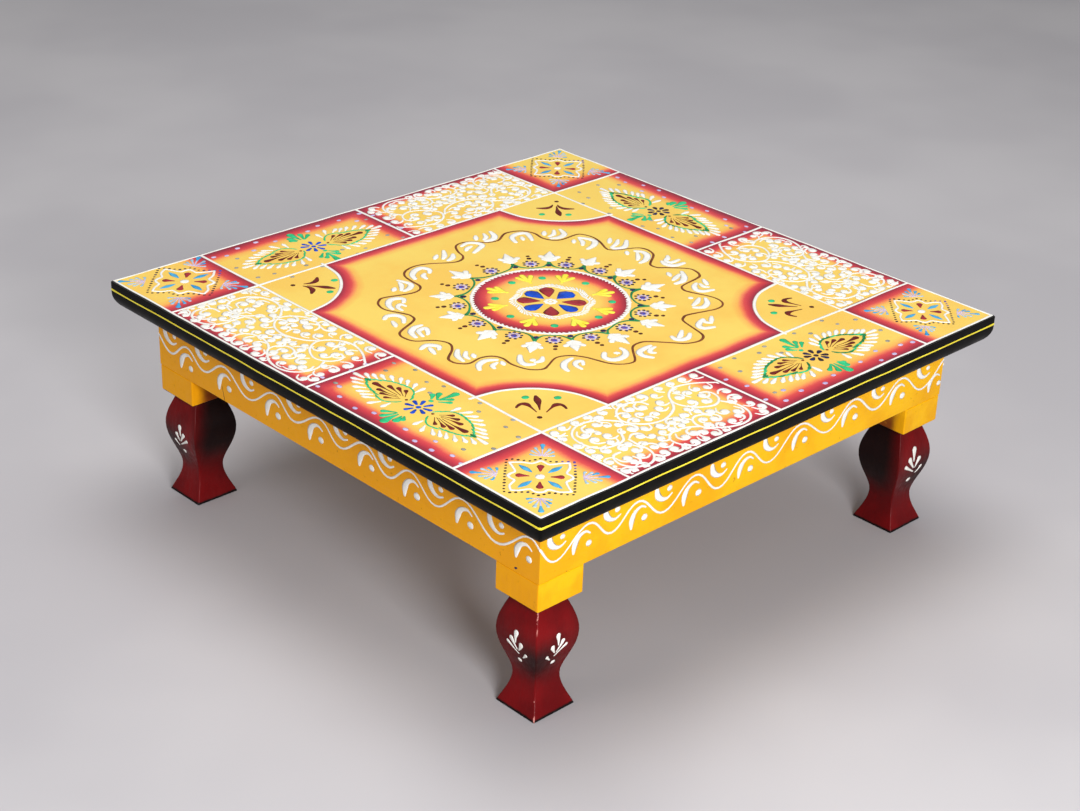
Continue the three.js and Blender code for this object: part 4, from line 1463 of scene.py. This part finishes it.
WAVE = (
    (-98.6, 0), (-94.7, -8.5), (-99, -16.2), (-108.8, -23.9), (-110.3, -29), (-108.8, -33.3),
    (-103.7, -37.2), (-93.9, -35.8), (-86.5, -38.8), (-83.9, -45.2), (-85.3, -54), (-83.2, -64),
    (-78.9, -69.3), (-74.2, -71), (-69, -69), (-58.5, -64.6), (-50, -68), (-44.8, -75.1), (-42.2, -82.8),
    (-39.7, -90.4), (-35, -96), (-28.6, -98.7), (-23.9, -96.8), (-15.4, -86.6), (-11.1, -82.9),
    (-6, -81.9), (0, -83.8), (10.2, -94.3), (16.2, -100.7), (23.9, -103.7), (29.9, -102.6), (34.1, -98.1),
    (37, -87), (39.7, -77.2), (43.5, -73.8), (48.6, -72.7), (62.3, -76.4), (69.1, -78.1), (76, -77.2),
    (80.6, -72.5), (81.4, -64), (76.4, -50.3), (75.3, -45.2), (77.2, -41), (81.5, -38.8), (97.3, -36.7),
    (102, -33.7), (104.3, -28.2), (103.7, -22.2), (94.3, -12.4), (89.6, -8.5), (88.3, -4.3), (90.4, 0),
    (102, 8.1), (105.6, 14.5), (105.8, 20.1), (102.4, 24.8), (90.4, 30.3), (86.3, 33.7), (86.2, 37.6),
    (91.3, 48.6), (93.2, 57.5), (90.9, 65.3), (86.6, 67.6), (74.2, 67.2), (68, 70.4), (65.3, 77.7),
    (66.8, 87), (64.4, 94.3), (59.7, 98.1), (53, 99.9), (48, 98.6), (40.1, 93.9), (35, 93.9), (29.9, 96),
    (23, 103.3), (16, 106), (9.5, 103.6), (4.6, 95.5), (2.6, 88.8), (-1, 84.8), (-6, 83.4), (-12, 85.2),
    (-23.9, 92.6), (-34, 95.4), (-43.5, 93), (-49.2, 87), (-51.2, 77.7), (-52, 69), (-56, 64.2),
    (-62.3, 63), (-70, 65), (-81.9, 69), (-87, 67.4), (-91.4, 62.5), (-92.8, 54), (-87.5, 41.8),
    (-86.4, 36.7), (-89.4, 30.6), (-105, 23.9), (-109.6, 20), (-110.7, 14.5), (-108.4, 7),
)

# The strokes of each group of commas, from the outermost in
COMMA_GROUPS = (
    (((-113, -3.8), (-106.7, -1.7), (-102.4, -7.3), (-105, -11)), ((-108, -6), (-111, -14))),
    (((-96.9, -18.8), (-102.4, -24.7), (-104.5, -32.4)), ((-94.7, -23.9), (-99, -28.2), (-99.8, -32.4)),
     ((-93.9, -29.4), (-96, -32.9))),
    (((-105, -47.4), (-100.7, -42.2), (-93.9, -40.5), (-88, -44)),
     ((-96.9, -51.6), (-95.2, -48.2), (-90.5, -46.9)), ((-89.2, -51.6), (-87.5, -48))),
    (((-73.4, -48.6), (-78.5, -54.6), (-78.9, -59.7), (-75, -62.7)),
     ((-72.5, -61.4), (-68.3, -61.9), (-64.4, -58.9)), ((-71.7, -58),)),
    (((-65.7, -81.9), (-64, -76.8), (-58.9, -72.5), (-52, -71.2)),
     ((-57.6, -85.3), (-56.8, -79.4), (-52.9, -76.4), (-50, -78), (-52.9, -81.9))),
    (((-31.6, -78.5), (-35.9, -82.8), (-35, -87.9), (-29.9, -90), (-23.9, -88.7), (-20, -84.5),
     (-19.2, -80.2)), ((-26.5, -82.8), (-25, -84))),
    (((-13.7, -101.5), (-16.2, -96.4), (-14.5, -91.3), (-8.5, -89.6), (-2.6, -89.2)),
     ((-7.7, -98), (-9.4, -95.6), (-6, -92.6), (-1.7, -92.2))),
    (((17, -88.7), (16.2, -92.2), (18.8, -95.6), (23.9, -96), (29, -92.6)),
     ((19.6, -92), (22.2, -90.9), (28.2, -86.6))),
    (((47.8, -95.6), (41.8, -93), (41.4, -88.7), (46, -85.3), (51.2, -83.2)),
     ((51.2, -90.4), (49, -87), (51.2, -84)), ((52, -89.6), (58.4, -84))),
    (((60.2, -67.4), (64.8, -70.8), (71.7, -68.3), (76.4, -62.3)),
     ((62.3, -64.8), (67.4, -63), (73.4, -59.7)), ((69.5, -55.9),)),
    (((90.4, -56.3), (83.6, -53.8), (81.9, -49.5), (85.3, -44.4), (89.6, -42.2)),
     ((91.3, -51.2), (89.6, -48.6), (90.9, -44.4)), ((93.9, -47.8), (98, -41))),
    (((78.9, -34), (85.3, -34), (91.3, -30), (96.4, -23)), ((81.9, -29), (86.2, -27.3), (92, -25)),
     ((87.9, -18.8), (85.3, -23))),
    (((108.4, -13.7), (100.7, -12.8), (97.3, -7.7), (99, -2.6)),
     ((110, -7.7), (102.4, -7.7), (102, -3.4), (105, -1)), ((105, -2.6), (109, 1.7))),
    (((86.2, 5), (92.2, 6), (99, 11), (100.7, 17), (98, 21.3)), ((87.9, 9.4), (92.2, 12.8), (97.3, 18.8)),
     ((93, 24.3), (89.6, 20.5))),
    (((90.4, 36), (91.3, 32.4), (98, 31.2), (106.7, 38)), ((92.2, 36.7), (97.3, 38.4), (103.2, 42.7)),
     ((94.7, 42.7), (100.7, 47.8))),
    (((75.9, 44.4), (82.8, 46), (88.7, 50.4), (88.7, 56.3), (85.3, 62.3)),
     ((77.6, 51.2), (81.9, 55.5), (83.6, 60.6)), ((79.4, 61.4), (75.9, 58))),
    (((69.5, 73.4), (75, 71.3), (81.9, 73.4), (85.3, 81)), ((70.8, 76.8), (75.9, 77.7), (81, 82.8)),
     ((70, 81), (74.2, 85.3))),
    (((46, 83.6), (49.5, 91.3), (56.3, 93.9), (62.3, 91.3), (60.6, 85.3), (57.2, 79.4)),
     ((52.9, 83.6), (55.5, 87.9))),
    (((31.6, 98), (37.5, 97.3), (42.7, 101.5), (45.2, 108.4)),
     ((32.4, 100.7), (36.7, 103.3), (39.2, 108.4)), ((28.2, 104), (32.4, 109.2))),
    (((11.9, 87.9), (17.9, 90.5), (24.7, 93.9), (24.7, 99), (19.6, 103.3), (12.8, 101.5)),
     ((10.2, 93.9), (13.7, 96.4), (17.9, 97.3))),
    (((-10.2, 88.8), (-5, 90.5), (-0.9, 94.7)), ((-11, 93), (-6.8, 96.4), (-1.7, 103.3)),
     ((-15.4, 96.4), (-10.2, 100.3))),
    (((-47, 79.4), (-44.4, 85.3), (-38.4, 89.6), (-32.4, 90.5), (-30, 85.3), (-33.3, 81)),
     ((-41, 75), (-40, 79.4), (-36.7, 81.9))),
    (((-64.9, 69), (-59.7, 70), (-54.6, 75), (-57.2, 84.5)), ((-65.7, 70.8), (-60.6, 76.8), (-58.9, 81)),
     ((-70, 73.4), (-66.6, 76.4))),
    (((-88.7, 52), (-87, 58), (-81.9, 63.2), (-76.8, 63.2), (-73.4, 59.7), (-76.8, 55.5)),
     ((-85.3, 46.9), (-84.5, 52), (-80.2, 54.6), (-79.4, 50.4))),
    (((-102.4, 43.5), (-98, 46), (-93, 43.5), (-92.2, 37.6), (-96.4, 32)),
     ((-100.7, 37.6), (-102.4, 33.3), (-104, 30.7))),
    (((-104.5, 11), (-102.4, 17.9), (-96.4, 22.2), (-90.5, 22.2)),
     ((-100.3, 9.4), (-98, 16.2), (-93.9, 17.9), (-91.3, 17), (-93.9, 12), (-96.4, 9.4))),
)

dice = random.Random(82)
wave = [(x, y, dice.uniform(0.6, 0.82)) for x, y in WAVE]
line = smooth_path([wave[-1], *wave, wave[0], wave[1]], 5)[5:-5]
lay_paint("wavy_line", [("brown", line)], "raised_colours")

white = []
for group in COMMA_GROUPS:
    for number, stroke in enumerate(group):
        width = dice.uniform(3.3, 3.8) if number else dice.uniform(4.0, 4.5)
        if len(stroke) == 1:
            white.append(("white", dot(*stroke[0], width)))
            continue
        if len(stroke) == 2:
            stroke = (stroke[0], Vector(stroke[0]).lerp(Vector(stroke[1]), 0.45), stroke[1])
        places = []
        for step, spot in enumerate(stroke):
            share = 0.48 + 0.52 * math.sin(0.4 + 2.5 * step / (len(stroke) - 1))
            places.append((*spot, width * share))
        white.append(("white", brush(*places, steps=3)))
lay_paint("wave_commas", white, "raised_white")

# Vine on the rails
#
# A wavy white vine runs along each rail and over the corners of the apron. Under each crest hangs a hook
# with a dot, and above each hollow a comma with a smaller dot, partly hidden by the board's edge.

# A vine's crests, each with how far aside its hook hangs, its hollows, its two ends, and how far its hooks
# and commas are shifted upwards
FRONT_VINE = (
    ((-142.5, 117.3, -2.6), (-103, 116.7, 1.2), (-56.5, 116.8, -1.7), (-12, 116.2, 2.3), (36, 118.5, 2.5),
     (87.5, 118.5, -1), (135, 118, -0.3)),
    ((-166, 103), (-124, 104.5), (-81.5, 102), (-35, 100.8), (10, 102.3), (63.5, 104.3), (111, 104.3),
     (158, 103.2)),
    (-178.9, 114.5), (178.9, 117.5), 0.0,
)
LEFT_VINE = (
    ((-148, 115.5, 1.5), (-107, 116.8, 0.6), (-56.5, 118, 0.5), (-11.5, 118.5, -2.1), (31, 119, 3),
     (72, 117.8, 1.8), (117, 119, 3.1), (168, 118.3, 0.4)),
    ((-165.5, 105), (-129.5, 105.5), (-82.5, 104), (-36.5, 106.8), (8, 107), (51.5, 105.7), (93.5, 105),
     (144, 103.8)),
    (-178.9, 114), (178.9, 114.5), -1.0,
)
RAIL_VINES = (FRONT_VINE, FRONT_VINE, LEFT_VINE, LEFT_VINE)
HOOK = ((4.6, -6.2, 1.0), (0.8, -4.2, 1.6), (-4.2, -6.0, 2.9), (-7.0, -10.6, 4.1), (-7.5, -15.6, 1.9))
LAST_HOOK = (172.4, 112.6)
COMMA_ABOVE = ((-5.8, 16.8, 3.0), (-5.0, 12.4, 4.0), (-1.6, 9.0, 2.8), (2.6, 8.0, 1.6), (6.4, 9.6, 1.0))
CRACK = ((-110.4, 102.5, 0.3), (-109.4, 98, 0.45), (-108, 92.9, 0.5))
BLUE_FLECK = ((160.2, 94.8, 1.2), (161.4, 95.3, 1.0))


def upright(quarter, along, out):
    """Stands paint upright on one side of the table, so far along it and so far out from its middle."""
    turn = Matrix.Rotation(quarter * math.pi / 2, 4, "Z")
    return turn @ Matrix.Translation((along * MM, -out * MM, 0)) @ Matrix.Rotation(math.pi / 2, 4, "X")


for number, side in enumerate(SIDES):
    dice = random.Random(100 + number)
    crests, hollows, start, end, lift = RAIL_VINES[number]
    bends = sorted([*((x, z) for x, z, aside in crests), *hollows])
    hangs = [(x + aside, z + lift, 1.0) for x, z, aside in crests]
    if side in ("front", "right"):
        hangs.append((*LAST_HOOK, 0.85))
    places = [(*start, 1.5)] + [(x, z, dice.uniform(1.1, 1.45)) for x, z in bends] + [(*end, 1.4)]
    strokes = [("white", brush(*places, steps=8, fullness=0.2))]
    for x, z, size in hangs:
        spot = dot(3.7 + dice.uniform(-1, 1), -12.6, dice.uniform(3.6, 4.2), 0.12)
        hook = [("white", brush(*HOOK, steps=3)), ("white", spot)]
        strokes += moved(hook, dice.uniform(-5, 4), (x, z), size * dice.uniform(0.96, 1.04))
    for x, z in hollows:
        spot = dot(4.0 + dice.uniform(-1, 1), 13.6, dice.uniform(2.8, 3.5), 0.12)
        above = [("white", brush(*COMMA_ABOVE, steps=3)), ("white", spot)]
        strokes += moved(above, dice.uniform(-5, 5), (x, z + lift), dice.uniform(0.94, 1.06))
    # The left rail also has a hairline crack and a fleck of blue paint
    if side == "left":
        strokes.append(("bistre", brush(*CRACK, steps=2)))
        strokes.append(("navy", brush(*BLUE_FLECK, steps=2)))
    lay_paint(f"vine_{side}", strokes, "raised_white", upright(number, 0, RING_HALF))

# Sprays on the feet
#
# On each outer face of each foot, five white drops spread from a point low on the bulge, with a dot under
# them. The sprays on the two faces of a corner are mirror images.

SPRAY = (
    ((0.2, 46.6), (-0.2, 53.0), 3.3), ((-0.6, 42.2), (3.6, 48.2), 2.9), ((-1.4, 39.4), (6.6, 44.6), 2.1),
    ((-2.0, 42.0), (-4.2, 46.6), 3.1), ((-4.4, 37.6), (-7.4, 40.8), 2.1),
)
SPRAY_DOT = (-0.6, 34.0, 2.5)
TALL_SPRAY = 1.24
profile = foot_places()


def foot_half(height):
    """Half the foot's side at a height."""
    for (low_half, low), (high_half, high) in zip(profile, profile[1:]):
        if low <= height <= high:
            return low_half + (high_half - low_half) * (height - low) / (high - low)
    return profile[-1][0] if height > profile[-1][1] else profile[0][0]


for number, corner in enumerate(CORNERS):
    for face, mirror in (("a", 1), ("b", -1)):
        dice = random.Random(120 + 2 * number + (mirror < 0))
        strokes = []
        for tail, head, width in SPRAY:
            strokes.append(("white", drop(tail, head, width, dice.uniform(-0.3, 0.3), tip=0.8)))
        strokes.append(("white", dot(*SPRAY_DOT, 0.15)))
        grow = TALL_SPRAY if (corner, face) == ("front_right", "b") else 1.0
        place = (dice.uniform(-0.5, 0.5), dice.uniform(-0.6, 0.6) - (grow - 1) * SPRAY_DOT[1])
        strokes = moved(strokes, 0, place, grow, (mirror, 1))
        stand = upright(number if mirror > 0 else number - 1, mirror * LEG_CENTRE, -LEG_CENTRE)
        lay_paint(f"spray_{corner}_{face}", strokes, "raised_white", stand, foot_half)
